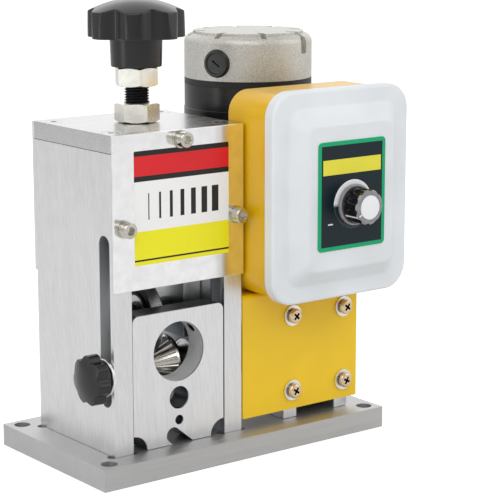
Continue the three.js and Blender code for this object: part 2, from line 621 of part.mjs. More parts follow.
function makeLockKnob() {
  const { lobes, radius, valley, hub, hubLength, rimLength, rim, dome, seat, stud } = lock;
  const lobeTop = hubLength + rimLength;
  const star = loft([
    lobedRing(lobes, radius - rim / 2, valley, hubLength),
    lobedRing(lobes, radius, valley, hubLength + rim),
    lobedRing(lobes, radius, valley, lobeTop - rim),
    ...domeRings(lobes, radius - rim / 2, valley, lobeTop, dome)]);
  return star.add(rod('z', hub, 0, hubLength + overrun, [0, 0]))
    .subtract(rod('z', stud + seatGap, -overrun, seat + runGap, [0, 0]));
}

function addGuide() {
  const axis = [slot.front, lock.z];
  const pinX = innerRight - guide.gap;
  place('guide_block', makeGuide(), finish.aluminium);
  place('guide_pin', rod('x', guide.pin, pinX - guide.pinSeat, pinX + guide.pinProud, axis), finish.steel);
  const washerX = -runGap;
  const knobX = washerX - lock.washerThick - runGap;
  const studEnd = innerLeft + guide.gap + lock.studDepth;
  const towardsLeft = [0, -Math.PI / 2, 0];
  place('lock_washer', makeWasher(lock.washer, lock.stud + runGap, lock.washerThick), finish.nickel,
    [washerX, ...axis], towardsLeft);
  place('lock_stud', rod('x', lock.stud, knobX - lock.seat, studEnd, axis), finish.blackSteel);
  place('lock_knob', makeLockKnob(), finish.blackPlastic, [knobX, ...axis], towardsLeft);
}

// Drive stand: two uprights, the worm gearbox between them, the motor and the sheet cover in front.

const motorX = (upright.leftX + upright.thick + upright.rightX) / 2;
const standScrewX = [upright.leftX + upright.thick / 2, upright.rightX + upright.thick / 2];
const flangeTop = upright.height + seatGap + gearbox.flangeThick;

function standScrewPlaces() {
  const { screwDrop, screwZ } = standCover;
  return [upright.height - screwDrop, screwZ].flatMap((z) => standScrewX.map((x) => [x, z]));
}

function makeUpright(left) {
  const { thick, front, back, height } = upright;
  const plate = block([left, left + thick], [front, back], [seatGap, height]);
  const holes = standScrewPlaces().filter(([x]) => x > left && x < left + thick).map((at) => (
    rod('y', panScrew.shank + runGap, front - overrun, front + panScrew.reach, at, facets.small)));
  const under = underScrewPlaces().filter(([x]) => x > left && x < left + thick).map((at) => (
    rod('z', base.screwHole, -overrun, base.thick, at, facets.small)));
  return cutAll(plate, [...holes, ...under]);
}

function makeLeftUpright() {
  const through = [upright.leftX - overrun, upright.leftX + upright.thick + overrun];
  return makeUpright(upright.leftX).subtract(
    rod('x', gearbox.boss + runGap, ...through, [feed.y, feed.z], facets.large));
}

function makeGearbox() {
  const { wheel, towerHalf, towerFoot, boss, flange, flangeCorner, flangeThick } = gearbox;
  const x = [upright.leftX + upright.thick + runGap, upright.rightX - runGap];
  const foot = flangeTop - flangeThick;
  const [west, east] = [motorX - flange, motorX + flange];
  const [south, north] = [motor.y - flange, motor.y + flange];
  const axis = [feed.y, feed.z];
  const housing = unionOf([rod('x', wheel, ...x, axis, facets.large),
    block(x, [motor.y - towerHalf, motor.y + towerHalf], [towerFoot, foot + overrun]),
    slab('z', roundedRectangle(west, east, south, north, flangeCorner), foot, flangeTop),
    rod('x', boss, upright.leftX + runGap, x[0] + overrun, axis, facets.large)]);
  return housing.subtract(rod('x', feed.shaft + runGap, upright.leftX, outputEnd() + runGap, axis));
}

function outputEnd() {
  return upright.rightX - upright.thick;
}

function makeMotorCap() {
  const { capRadius, capHeight, shoulder, crown, crownStep, vents, vent, ventReach, ventLength,
    ventDepth, notchWidth, notchDepth, notchHeight, notchDrop, notchAzimuth } = motor;
  const rimTop = capHeight - crownStep;
  const cap = turned('z', [[0, 0], [capRadius, 0], ...quarterTurn(capRadius, rimTop, shoulder),
    [crown, rimTop], [crown, capHeight], [0, capHeight]], [0, 0], facets.wheel);
  const cutters = [];
  for (let i = 0; i < vents; i += 1) {
    const cutter = block([ventReach - ventLength / 2, ventReach + ventLength / 2], [-vent, vent],
      [capHeight - ventDepth, capHeight + overrun]);
    cutters.push(cutter.rotate([0, 0, 360 * (i + 1 / 2) / vents]));
  }
  const notch = block([capRadius - notchDepth, capRadius + overrun], [-notchWidth / 2, notchWidth / 2],
    [rimTop - notchDrop - notchHeight, rimTop - notchDrop]);
  const brushes = [brush.azimuth, brush.azimuth + 180].map((azimuth) => (
    rod('x', brush.radius + runGap, capRadius - brush.seat, capRadius + overrun, [0, capHeight - brush.drop])
      .rotate([0, 0, azimuth])));
  return cutAll(cap, [...cutters, notch.rotate([0, 0, notchAzimuth]), ...brushes]);
}

// Rounded outer shoulder of a turned piece, from its side up to its top face.
function quarterTurn(radius, top, round, steps = 4) {
  const points = [];
  for (let i = 0; i <= steps; i += 1) {
    const angle = Math.PI / 2 * i / steps;
    points.push([radius - round + round * Math.cos(angle), top - round + round * Math.sin(angle)]);
  }
  return points;
}

function makeBrushCap() {
  const length = brush.seat - runGap + brush.proud;
  const plug = rod('z', brush.radius, 0, length, [0, 0]);
  const slit = block([-brush.radius - overrun, brush.radius + overrun], [-brush.slot, brush.slot],
    [length - brush.slotDepth, length + overrun]);
  return plug.subtract(slit.rotate([0, 0, brush.slotTilt]));
}

function makeStandCover() {
  const { left, right, foot, thick, shelfBack } = standCover;
  const inner = upright.front - seatGap;
  const [outer, shelf] = [inner - thick, upright.height + seatGap];
  const outline = new THREE.Shape();
  outline.moveTo(outer, foot).lineTo(inner, foot).lineTo(inner, shelf).lineTo(shelfBack, shelf);
  outline.lineTo(shelfBack, shelf + thick).lineTo(inner, shelf + thick);
  outline.absarc(inner, shelf, thick, Math.PI / 2, Math.PI);
  return cutAll(slab('x', outline, left, right), standScrewPlaces().map((at) => (
    rod('y', panScrew.shank + runGap, outer - overrun, inner + overrun, at, facets.small))));
}

function addStand() {
  place('upright_left', makeLeftUpright(), finish.aluminium);
  place('upright_right', makeUpright(upright.rightX), finish.aluminium);
  place('gearbox', makeGearbox(), finish.casting);
  const yokeFoot = flangeTop + seatGap;
  const capFoot = yokeFoot + motor.yokeHeight + seatGap;
  place('motor_body', rod('z', motor.radius, 0, motor.yokeHeight, [0, 0], facets.wheel), finish.blackPaint,
    [motorX, motor.y, yokeFoot]);
  place('motor_end_cap', makeMotorCap(), finish.casting, [motorX, motor.y, capFoot]);
  const reach = motor.capRadius - brush.seat + runGap;
  for (const [side, turn] of [['left', 0], ['right', Math.PI]]) {
    const azimuth = THREE.MathUtils.degToRad(brush.azimuth) + turn;
    place(`brush_cap_${side}`, makeBrushCap(), finish.blackPlastic,
      [motorX + reach * Math.cos(azimuth), motor.y + reach * Math.sin(azimuth),
        capFoot + motor.capHeight - brush.drop], [0, Math.PI / 2, azimuth, 'ZYX']);
  }
  place('stand_cover', makeStandCover(), finish.yellow);
  const washerY = upright.front - 2 * seatGap - standCover.thick;
  standScrewPlaces().forEach(([x, z], i) => {
    place(`stand_washer_${i + 1}`, makeWasher(panScrew.washer, panScrew.shank + runGap,
      panScrew.washerThick, facets.small), finish.nickel, [x, washerY, z], [Math.PI / 2, 0, 0]);
    place(`stand_screw_${i + 1}`, makePanScrew(), finish.nickel,
      [x, washerY - panScrew.washerThick - seatGap, z], [Math.PI / 2, 0, 0]);
  });
}

// Speed controller: a box on the stand cover's shelf, its moulded front and what is inside.

const boxFoot = upright.height + 2 * seatGap + standCover.thick;
const boxTop = boxFoot + box.height;
const boxRight = box.left + box.width;
const boxBack = box.front + box.depth;
const dialAxis = [(box.left + boxRight) / 2, boxFoot + dial.rise];
const glandAxis = [dialAxis[0], boxFoot + gland.rise];
const coverBack = box.front - seatGap;
const coverWall = coverBack - cover.band - cover.round - cover.slope - cover.flatRound;
const boardFace = boxBack - box.wall - box.postHeight - seatGap;

function boxOutline(inset, corner) {
  return roundedRectangle(box.left + inset, boxRight - inset, boxFoot + inset, boxTop - inset, corner);
}

function boardPosts() {
  const middle = [(box.left + boxRight) / 2, (boxFoot + boxTop) / 2];
  return corners(board.width / 2 - board.post, board.height / 2 - board.post).map(([x, z]) => (
    [middle[0] + x, middle[1] + z]));
}

function makeControllerBox() {
  const floor = boxBack - box.wall;
  const shell = slab('y', boxOutline(0, box.corner), box.front, boxBack)
    .subtract(slab('y', boxOutline(box.wall, box.corner - box.wall), box.front - overrun, floor));
  const posts = boardPosts().map((at) => rod('y', box.post, boardFace + seatGap, floor + seatGap, at));
  return unionOf([shell, ...posts]).subtract(
    rod('y', gland.barrel + seatGap, floor - overrun, boxBack + overrun, glandAxis));
}

// Ring of the moulded front: the controller's outline drawn in by a distance, at one depth.
function coverRing(inset, corner, y) {
  const [left, right] = [box.left - cover.lip + inset, boxRight + cover.lip - inset];
  const [foot, top] = [boxFoot - cover.lip + inset, boxTop + cover.lip - inset];
  const centres = [[right - corner, foot + corner], [right - corner, top - corner],
    [left + corner, top - corner], [left + corner, foot + corner]];
  return centres.flatMap(([x, z], k) => {
    const arc = [];
    for (let i = 0; i <= cover.arcSteps; i += 1) {
      const angle = Math.PI / 2 * (k - 1 + i / cover.arcSteps);
      arc.push(new THREE.Vector3(x + corner * Math.cos(angle), y, z + corner * Math.sin(angle)));
    }
    return arc;
  });
}

function makeControllerCover() {
  const { corner, rimWall, band, round, rimInset, rimRound, rimCorner, slope, flatRound, flatCorner,
    rise, wall } = cover;
  const bandFront = coverBack - band;
  const rimFront = bandFront - round;
  const slopeEnd = rimInset + rimRound + rise;
  const flatInset = slopeEnd + flatRound;
  const inside = [[flatInset, flatCorner, coverWall + wall], [rimInset, rimCorner, rimFront + wall],
    [rimWall, corner - rimWall, rimFront + wall], [rimWall, corner - rimWall, coverBack]];
  const outside = [[0, corner, coverBack], [0, corner, bandFront],
    [round / 4, corner, bandFront - round * 3 / 4], [round, corner - round, rimFront],
    [rimInset, rimCorner, rimFront], [rimInset + rimRound, rimCorner - rimRound, rimFront - rimRound],
    [slopeEnd, flatCorner, rimFront - slope], [flatInset, flatCorner - rimRound, coverWall]];
  const shell = loft([...inside, ...outside].map((ring) => coverRing(...ring)));
  return shell.subtract(rod('y', dial.bush + runGap, coverWall - overrun, coverWall + wall + overrun,
    dialAxis));
}

function makePotentiometer() {
  const { bush, shaft, shaftReach, potBody, potDepth, bezelThick } = dial;
  const back = coverWall + cover.wall + seatGap;
  const bushEnd = coverWall - seatGap - bezelThick;
  return turned('y', [[0, back + potDepth], [potBody, back + potDepth], [potBody, back], [bush, back],
    [bush, bushEnd], [shaft, bushEnd], [shaft, bushEnd - shaftReach], [0, bushEnd - shaftReach]], dialAxis);
}

function makeSpeedKnob() {
  const { skirt, skirtThick, body, valley, flutes, height, inlay, inlayProud, shaft, shaftReach } = dial;
  const scallops = loft([[skirtThick / 2, 0], [height - valley, 0], [height, valley]].map(([z, inset]) => (
    lobedRing(flutes, body - inset, valley, z, 4))));
  return unionOf([scallops, rod('z', skirt, 0, skirtThick, [0, 0], facets.large),
    rod('z', inlay, height - overrun, height + inlayProud, [0, 0])])
    .subtract(rod('z', shaft + seatGap, -overrun, shaftReach, [0, 0]));
}

function makeBoard() {
  const { width, height, thick, sinkWidth, sinkHeight, finHeight, fins, fin, can, canLength, terminal,
    terminalWidth } = board;
  const [x, z] = [(box.left + boxRight) / 2, (boxFoot + boxTop) / 2];
  const [back, face] = [boardFace, boardFace - thick];
  const plate = block([x - width / 2, x + width / 2], [face, back], [z - height / 2, z + height / 2]);
  const sinkZ = [z, z + height / 3];
  const sink = block([x - sinkWidth / 2, x + sinkWidth / 2], [face - sinkHeight, face], sinkZ);
  const pitch = (sinkWidth - fin) / (fins - 1);
  const blades = Array.from({ length: fins }, (_, i) => x - sinkWidth / 2 + i * pitch).map((from) => (
    block([from, from + fin], [face - sinkHeight - finHeight, face - sinkHeight + seatGap], sinkZ)));
  const capacitor = rod('y', can, face - canLength, face, [x - width / 4, z - height / 5]);
  const terminals = block([x - terminalWidth / 2, x + terminalWidth / 2], [face - terminal, face],
    [z - height / 2, z - height / 2 + terminal]);
  return unionOf([plate, sink, ...blades, capacitor, terminals]);
}

function makeGland() {
  const { flange, flangeThick, barrel, hex, hexLength, nose, noseLength, bore } = gland;
  const inner = boxBack - box.wall - seatGap;
  const outer = boxBack + seatGap;
  const end = outer + hexLength + noseLength;
  const body = turned('y', [[0, inner - flangeThick], [flange, inner - flangeThick], [flange, inner],
    [barrel, inner], [barrel, outer], [nose, outer], [nose, end - nose / 4], [nose * 3 / 4, end],
    [0, end]], glandAxis);
  return body.add(slab('y', hexagon(hex, glandAxis), outer, outer + hexLength))
    .subtract(rod('y', bore, inner - flangeThick - overrun, end + overrun, glandAxis, facets.small));
}

function addController() {
  const bezelY = coverWall - seatGap;
  const towardsFront = [Math.PI / 2, 0, 0];
  place('controller_box', makeControllerBox(), finish.yellow);
  place('controller_cover', makeControllerCover(), finish.grey);
  place('dial_bezel', makeWasher(dial.bezel, dial.bush + runGap, dial.bezelThick, facets.large),
    finish.nickel, [dialAxis[0], bezelY, dialAxis[1]], towardsFront);
  place('speed_potentiometer', makePotentiometer(), finish.steel);
  place('speed_knob', makeSpeedKnob(), finish.blackPlastic,
    [dialAxis[0], bezelY - dial.bezelThick - runGap, dialAxis[1]], towardsFront);
  place('control_board', makeBoard(), finish.board);
  place('cord_gland', makeGland(), finish.blackPlastic);
}

addHeadFrame();
addFeed();
addBladeAndScrew();
addGuide();
addStand();
addController();

export default part;
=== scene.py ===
import json
import math

import bpy
from mathutils import Euler, Matrix, Vector


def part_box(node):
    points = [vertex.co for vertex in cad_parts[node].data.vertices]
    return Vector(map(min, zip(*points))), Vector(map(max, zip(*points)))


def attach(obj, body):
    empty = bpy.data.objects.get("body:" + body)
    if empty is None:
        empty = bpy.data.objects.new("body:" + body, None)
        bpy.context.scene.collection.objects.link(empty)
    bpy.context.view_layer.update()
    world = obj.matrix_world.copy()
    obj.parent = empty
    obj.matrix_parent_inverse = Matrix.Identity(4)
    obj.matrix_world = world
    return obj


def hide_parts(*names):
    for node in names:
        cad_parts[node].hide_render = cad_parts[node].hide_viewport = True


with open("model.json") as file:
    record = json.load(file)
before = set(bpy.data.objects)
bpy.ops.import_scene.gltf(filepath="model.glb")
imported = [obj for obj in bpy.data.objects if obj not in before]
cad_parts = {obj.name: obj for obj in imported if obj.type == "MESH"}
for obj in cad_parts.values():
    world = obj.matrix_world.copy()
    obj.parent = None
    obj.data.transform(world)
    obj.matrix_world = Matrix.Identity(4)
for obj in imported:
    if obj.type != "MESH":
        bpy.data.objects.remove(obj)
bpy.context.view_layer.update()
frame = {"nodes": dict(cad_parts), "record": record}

# Sizes below are in millimetres in the head frame: x from the left side plate's outer face,
# y from the plates' front edges towards the back, z from the base plate's top.
mm = 0.001
tiny = 0.00002  # metres within which two places count as one
past = 1  # how far a cutting tool reaches past a face
snug = 0.1  # how far a bore stands off its shaft, and a screw's head off the face under it
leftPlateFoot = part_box("left_side_plate")[0]
headOrigin = Vector((leftPlateFoot.x, leftPlateFoot.y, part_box("base_plate")[1].z))
turnTo = {
    "z": (0, 0, 0), "-z": (math.pi, 0, 0), "x": (0, math.pi / 2, 0), "-x": (0, -math.pi / 2, 0),
    "y": (-math.pi / 2, 0, 0), "-y": (math.pi / 2, 0, 0),
}
slotOf = {entry["node"]: entry["material_slot"] for entry in frame["record"]["subparts"]}
scene = bpy.context.scene


def at(x, y, z):
    return headOrigin + Vector((x, y, z)) * mm


def lowOf(node):
    return (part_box(node)[0] - headOrigin) / mm


def highOf(node):
    return (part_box(node)[1] - headOrigin) / mm


def spans(node):
    return list(zip(lowOf(node), highOf(node)))


def middleOf(node):
    return [sum(span) / 2 for span in spans(node)]


def through(span):
    # for a tool that cuts right through
    return span[0] - past, span[1] + past


def around(middle, half):
    return middle - half, middle + half


def spotOn(axis, centre, along):
    # centre holds the two coordinates across the axis
    spot = list(centre)
    spot.insert("xyz".index(axis), along)
    return at(*spot)


# Modelling helpers

def deselect():
    bpy.ops.object.select_all(action="DESELECT")


def activate(piece):
    deselect()
    piece.select_set(True)
    bpy.context.view_layer.objects.active = piece


def settle(piece, matrix=None):
    # moves the piece's place, turn and size into its mesh
    activate(piece)
    if matrix is not None:
        piece.matrix_world = matrix
    bpy.ops.object.transform_apply(location=True, rotation=True, scale=True)
    return piece


def leave():
    bpy.ops.object.mode_set(mode="OBJECT")


def openAll(piece):
    # edit mode with every point selected
    activate(piece)
    bpy.ops.object.mode_set(mode="EDIT")
    bpy.ops.mesh.select_mode(type="VERT")
    bpy.ops.mesh.select_all(action="SELECT")


def pick(piece, kind, test):
    # edit mode with what passes the test: a point's place, an edge's two places or a face's normal
    openAll(piece)
    bpy.ops.mesh.select_mode(type=kind)
    bpy.ops.mesh.select_all(action="DESELECT")
    leave()
    mesh = piece.data
    if kind == "VERT":
        for corner in mesh.vertices:
            corner.select = test(corner.co)
    elif kind == "EDGE":
        for edge in mesh.edges:
            edge.select = test(*[mesh.vertices[i].co for i in edge.vertices])
    else:
        for face in mesh.polygons:
            face.select = test(face.normal)
    bpy.ops.object.mode_set(mode="EDIT")


def closeShell(merge=False):
    # all faces outwards, then out of edit mode
    bpy.ops.mesh.select_all(action="SELECT")
    if merge:
        bpy.ops.mesh.remove_doubles(threshold=1e-6)
    bpy.ops.mesh.normals_make_consistent(inside=False)
    leave()


def addModifier(piece, kind, **settings):
    modifier = piece.modifiers.new(kind.lower(), kind)
    for key, value in settings.items():
        setattr(modifier, key, value)


def applyAll(piece):
    activate(piece)
    for modifier in list(piece.modifiers):
        bpy.ops.object.modifier_apply(modifier=modifier.name)
    return piece


def named(name):
    piece = bpy.context.object
    piece.name = piece.data.name = name
    return piece


def makeBlock(name, x, y, z):
    deselect()
    middle = at(*[(low + high) / 2 for low, high in (x, y, z)])
    bpy.ops.mesh.primitive_cube_add(size=1, location=middle)
    piece = named(name)
    piece.scale = [(high - low) * mm for low, high in (x, y, z)]
    return settle(piece)


def makeRod(name, axis, radius, span, centre=(0, 0), sides=64, radiusEnd=None):
    deselect()
    start, end = span
    bpy.ops.mesh.primitive_cone_add(
        vertices=sides, radius1=radius * mm, radius2=(radius if radiusEnd is None else radiusEnd) * mm,
        depth=(end - start) * mm, location=spotOn(axis, centre, (start + end) / 2), rotation=turnTo[axis])
    return settle(named(name))


def makeSlotTool(name, axis, radius, span, centre, reach, sides=64):
    # a rod whose far half is moved by reach, to cut a slot with round ends
    piece = makeRod(name, axis, radius, span, centre, sides)
    middle, move = spotOn(axis, centre, sum(span) / 2), Vector(reach) * mm
    pick(piece, "VERT", lambda co: (co - middle).dot(move) > tiny * move.length)
    bpy.ops.transform.translate(value=move)
    leave()
    return piece


def drawLine(name, points):
    # leaves the new piece in edit mode, with one point drawn out along the line
    deselect()
    bpy.ops.mesh.primitive_plane_add(size=mm)
    piece = named(name)
    openAll(piece)
    bpy.ops.mesh.merge(type="CENTER")
    bpy.ops.transform.translate(value=points[0])
    for first, second in zip(points, points[1:]):
        bpy.ops.mesh.extrude_region_move(TRANSFORM_OT_translate={"value": second - first})
    bpy.ops.mesh.select_all(action="SELECT")
    return piece


def makeExtruded(name, axis, outline, span):
    # outline is a line of points across the axis, closed here
    piece = drawLine(name, [spotOn(axis, pair, span[0]) for pair in outline])
    move = [(span[1] - span[0]) * mm if letter == axis else 0 for letter in "xyz"]
    bpy.ops.mesh.edge_face_add()
    bpy.ops.mesh.extrude_region_move(TRANSFORM_OT_translate={"value": move})
    closeShell()
    return piece


def drawProfile(name, profile):
    return drawLine(name, [Vector((radius, 0, along)) * mm for radius, along in profile])


def makeTurned(name, axis, profile, spot=(0, 0, 0), steps=72):
    # profile is a line of (radius, distance along the axis), spun about the axis through spot
    piece = drawProfile(name, profile)
    bpy.ops.mesh.spin(steps=steps, angle=2 * math.pi, center=(0, 0, 0), axis=(0, 0, 1))
    closeShell(merge=True)
    piece.rotation_euler = turnTo[axis]
    piece.location = at(*spot)
    return settle(piece)


def barrel(radius, foot, top, footEdge=0, topEdge=0):
    # profile of a solid disc or rod, with chamfered rims if asked for
    lower = [(radius - footEdge, foot)] if footEdge else []
    upper = [(radius - topEdge, top)] if topEdge else []
    return [(0, foot), *lower, (radius, foot + footEdge), (radius, top - topEdge), *upper, (0, top)]


def mirrored(side):
    return [(radius, -along) for radius, along in reversed(side)]


def ringProfile(side):
    # a closed profile from its half on one side of the middle
    return [*side, *mirrored(side), side[0]]


def quarterArc(crown, rim, foot, top, steps):
    # points from (rim, foot) to (crown, top), bulging past the straight line
    turns = [math.pi / 2 * step / steps for step in range(steps + 1)]
    return [(crown + (rim - crown) * math.cos(turn), foot + (top - foot) * math.sin(turn)) for turn in turns]


def makeHexagon(name, axis, flats, span, spot=(0, 0), turn=0):
    deselect()
    bpy.ops.mesh.primitive_cylinder_add(vertices=6, radius=flats / math.sqrt(3) * mm,
                                        depth=(span[1] - span[0]) * mm, rotation=(0, 0, turn))
    piece = settle(named(name))
    piece.rotation_euler = turnTo[axis]
    piece.location = spotOn(axis, spot, sum(span) / 2)
    return settle(piece)


def join(pieces, name):
    activate(pieces[0])
    for piece in pieces:
        piece.select_set(True)
    if len(pieces) > 1:
        bpy.ops.object.join()
    return named(name)


def combine(piece, tools, operation):
    tool = join(tools, "tool")
    addModifier(piece, "BOOLEAN", operation=operation, solver="EXACT", use_self=len(tools) > 1, object=tool)
    applyAll(piece)
    discard(tool)
    return piece


def cut(piece, *tools):
    return combine(piece, tools, "DIFFERENCE")


def add(piece, *tools):
    return combine(piece, tools, "UNION")


def keepInside(piece, tool):
    return combine(piece, [tool], "INTERSECT")


def discard(*pieces):
    for piece in pieces:
        bpy.data.objects.remove(piece)


def bevelEdges(piece, width, segments, along=None, level=None):
    # the edges along an axis, or at a level of an axis (its number and place in metres), or both
    def chosen(a, b):
        runs = along is None or abs(a["xyz".index(along)] - b["xyz".index(along)]) > tiny
        return runs and (level is None or all(abs(end[level[0]] - level[1]) < tiny for end in (a, b)))

    pick(piece, "EDGE", chosen)
    bpy.ops.mesh.bevel(offset=width * mm, segments=segments, affect="EDGES", clamp_overlap=True)
    leave()
    return piece


def smoothFaces(piece, angle=35):
    # curved faces shade smoothly and flat faces stay flat
    activate(piece)
    bpy.ops.object.shade_smooth_by_angle(angle=math.radians(angle))
    addModifier(piece, "WEIGHTED_NORMAL", keep_sharp=True, weight=100)
    return applyAll(piece)


def softEdges(piece, width, segments=2, angle=30, smooth=35):
    addModifier(piece, "BEVEL", width=width * mm, segments=segments, limit_method="ANGLE",
                angle_limit=math.radians(angle), miter_outer="MITER_ARC", use_clamp_overlap=True)
    applyAll(piece)
    return smoothFaces(piece, smooth)


def moulded(piece, voxel, rounds):
    # soft rounded edges all over, as a moulding has
    addModifier(piece, "REMESH", mode="VOXEL", voxel_size=voxel * mm)
    addModifier(piece, "SMOOTH", factor=0.5, iterations=rounds)
    applyAll(piece)
    bpy.ops.object.shade_smooth_by_angle(angle=math.radians(70))
    return piece


def copyNode(name, node):
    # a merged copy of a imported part, ready for edges and material
    source = frame["nodes"][node]
    piece = source.copy()
    piece.data = source.data.copy()
    piece.parent = None
    for key in list(piece.keys()):
        del piece[key]
    scene.collection.objects.link(piece)
    openAll(piece)
    piece.name = piece.data.name = name
    bpy.ops.mesh.remove_doubles(threshold=2e-6)
    bpy.ops.mesh.dissolve_limited(angle_limit=math.radians(1))
    leave()
    return piece


def copyOf(master, name, matrix):
    # masters stand on the head frame's origin, along z or x
    piece = master.copy()
    piece.data = master.data.copy()
    piece.name = piece.data.name = name
    scene.collection.objects.link(piece)
    return settle(piece, matrix @ Matrix.Translation(-headOrigin))


def placeCopy(master, name, spot, axis="z", turn=0.0):
    lay = Euler(turnTo[axis]).to_matrix().to_4x4() @ Matrix.Rotation(turn, 4, "Z")
    return copyOf(master, name, Matrix.Translation(at(*spot)) @ lay)


def spinAround(piece, centre, degrees):
    # turns a piece about the upright line through centre
    middle = Matrix.Translation(at(*centre, 0))
    return settle(piece, middle @ Matrix.Rotation(math.radians(degrees), 4, "Z") @ middle.inverted())


def finishPiece(piece, surface, node, body="frame", extra=False):
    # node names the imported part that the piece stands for, or one like it where the piece is an extra
    piece.data.materials.clear()
    piece.data.materials.append(surface)
    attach(piece, body)
    if not extra:
        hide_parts(node)


# Shader maths

class Link:
    # a socket that adds its Math nodes where it stands in an expression
    def __init__(self, graph, socket):
        self.graph, self.socket = graph, socket

    def out(self, name):
        return Link(self.graph, self.socket.node.outputs[name])

    def math(self, operation, *others):
        return self.graph.node("ShaderNodeMath", {"operation": operation}, dict(enumerate((self, *others))))

    def __add__(self, other):
        return self.math("ADD", other)

    __radd__ = __add__

    def __sub__(self, other):
        return self.math("SUBTRACT", other)

    def __rsub__(self, other):
        return self.graph.node("ShaderNodeMath", {"operation": "SUBTRACT"}, {0: other, 1: self})

    def __mul__(self, other):
        return self.math("MULTIPLY", other)

    __rmul__ = __mul__

    def __truediv__(self, other):
        return self.math("DIVIDE", other)

    def __gt__(self, other):
        return self.math("GREATER_THAN", other)

    def __lt__(self, other):
        return self.math("LESS_THAN", other)

    def __abs__(self):
        return self.math("ABSOLUTE")

    def either(self, other):
        return self.math("MAXIMUM", other)

    def clamp(self):
        return self.graph.node("ShaderNodeClamp", None, {0: self})

    def ramp(self, low, high):
        # 0 below low and 1 above high, with an even step between
        return ((self - low) / (high - low)).clamp()

    def within(self, low, high):
        return (self > low) * (self < high)


def distance(first, second):
    return (first * first + second * second).math("SQRT")


class Graph:
    def __init__(self, tree):
        self.tree = tree

    def node(self, kind, settings=None, values=None, output=0):
        made = self.tree.nodes.new(kind)
        for key, value in (settings or {}).items():
            setattr(made, key, value)
        for key, value in (values or {}).items():
            self.put(made.inputs[key], value)
        return Link(self, made.outputs[output])

    def put(self, socket, value):
        if isinstance(value, Link):
            self.tree.links.new(value.socket, socket)
        else:
            socket.default_value = value

    def split(self, vector):
        parts = self.node("ShaderNodeSeparateXYZ", None, {0: vector})
        return [parts.out(letter) for letter in "XYZ"]


class Surface(Graph):
    def __init__(self, name, roughness, metallic=0.0, **fixed):
        self.material = bpy.data.materials.new(name)
        self.material.use_nodes = True
        super().__init__(self.material.node_tree)
        self.shader = self.tree.nodes["Principled BSDF"]
        for socketName, value in dict(fixed, Roughness=roughness, Metallic=metallic).items():
            self.feed(socketName.replace("_", " "), value)
        self.place = self.node("ShaderNodeTexCoord", output="Object")

    def feed(self, socketName, value):
        self.put(self.shader.inputs[socketName], value)

    def vector(self, operation, first, second):
        return self.node("ShaderNodeVectorMath", {"operation": operation}, {0: first, 1: second})

    def axes(self, centre=(0, 0, 0)):
        # distances from centre along x, y and z, in millimetres
        moved = self.vector("SUBTRACT", self.place, tuple(at(*centre)))
        return self.split(self.vector("MULTIPLY", moved, (1000, 1000, 1000)))

    def radius(self, centre, axis):
        return distance(*[value for letter, value in zip("xyz", self.axes(centre)) if letter != axis])

    def noise(self, scale, detail=3, stretch=None, roughness=0.55):
        place = self.vector("MULTIPLY", self.place, stretch) if stretch else self.place
        return self.node("ShaderNodeTexNoise", None,
                         {"Vector": place, "Scale": scale, "Detail": detail, "Roughness": roughness})

    def mixColour(self, share, first, second):
        return self.node("ShaderNodeMix", {"data_type": "RGBA"}, {0: share, 6: first, 7: second}, 2)

    def vary(self, pattern, first, second):
        return self.mixColour(pattern.ramp(0.3, 0.7), first, second)

    def bump(self, height, depth, strength):
        normal = self.node("ShaderNodeBump", None, {"Height": height, "Distance": depth, "Strength": strength})
        self.feed("Normal", normal)


def tone(*display):
    # display values of 0 to 255 as the shader's linear colour
    shares = [value / 255 for value in display]
    return (*[share / 12.92 if share <= 0.04045 else ((share + 0.055) / 1.055) ** 2.4 for share in shares], 1)


def shade(colour, factor):
    return (*[min(value * factor, 1) for value in colour[:3]], 1)


# Finishes

brushed = {"base": tone(230, 230, 231), "across": 900, "along": 14, "contrast": 0.1, "roughness": 0.36,
           "shadow": tone(104, 110, 114)}


# where the head's slots and its closed room lie
headSlots = ((0.5, 86.4), (2.8, 13.2), (26.9, 122.7))
headRoom = ((11.9, 75), (1, 77), (-5, 167))


def inside(surface, box):
    x, y, z = [value.within(*span) for value, span in zip(surface.axes(), box)]
    return x * y * z


def slotWalls(surface):
    return inside(surface, headSlots)


def headInside(surface):
    # the head's room and the upper walls of its slots, which little light reaches
    _, y, z = surface.axes()
    covered = 1 - z.ramp(72, 84) * 0.45  # the upper half is lit a little through the slots
    openBack = 1 - y.ramp(46, 74) * (1 - z.ramp(84, 100)) * 0.8  # and the lower half from the back
    room = inside(surface, headRoom) * covered * openBack * (y.ramp(2, 24) * 0.7 + 0.3)
    return (room + slotWalls(surface) * z.ramp(30, 125) * 0.85).clamp()


def brushedAluminium(name, grain, base=brushed["base"], roughness=brushed["roughness"], tilt=0.0,
                     shaded=headInside, dull=slotWalls):
    # streaks run along the grain axis, fine across it, and milled walls are duller
    surface = Surface(name, roughness, 1.0)
    stretch = [brushed["along"] if axis == grain else brushed["across"] for axis in "xyz"]
    plain = surface.place
    if tilt:
        surface.place = surface.node("ShaderNodeMapping", None, {"Vector": plain, "Rotation": (tilt, tilt, 0)})
    streaks = surface.noise(1, 4, stretch)
    broad = surface.noise(1, 2, [value * 0.12 for value in stretch])
    cloud = surface.noise(22, 2)
    surface.place = plain
    mix = (streaks * 0.6 + broad * 0.3 + cloud * 0.1).ramp(0.3, 0.7)
    contrast = brushed["contrast"]
    bright = surface.mixColour(mix, shade(base, 1 - contrast), shade(base, 1 + contrast))
    surface.feed("Base Color", surface.mixColour(shaded(surface), bright, brushed["shadow"]))
    milled = dull(surface)
    surface.feed("Roughness", mix * 0.16 + milled * 0.2 + (roughness - 0.08))
    surface.feed("Metallic", 1 - milled * 0.4)
    surface.bump(streaks, 0.00003, 0.5)
    return surface.material


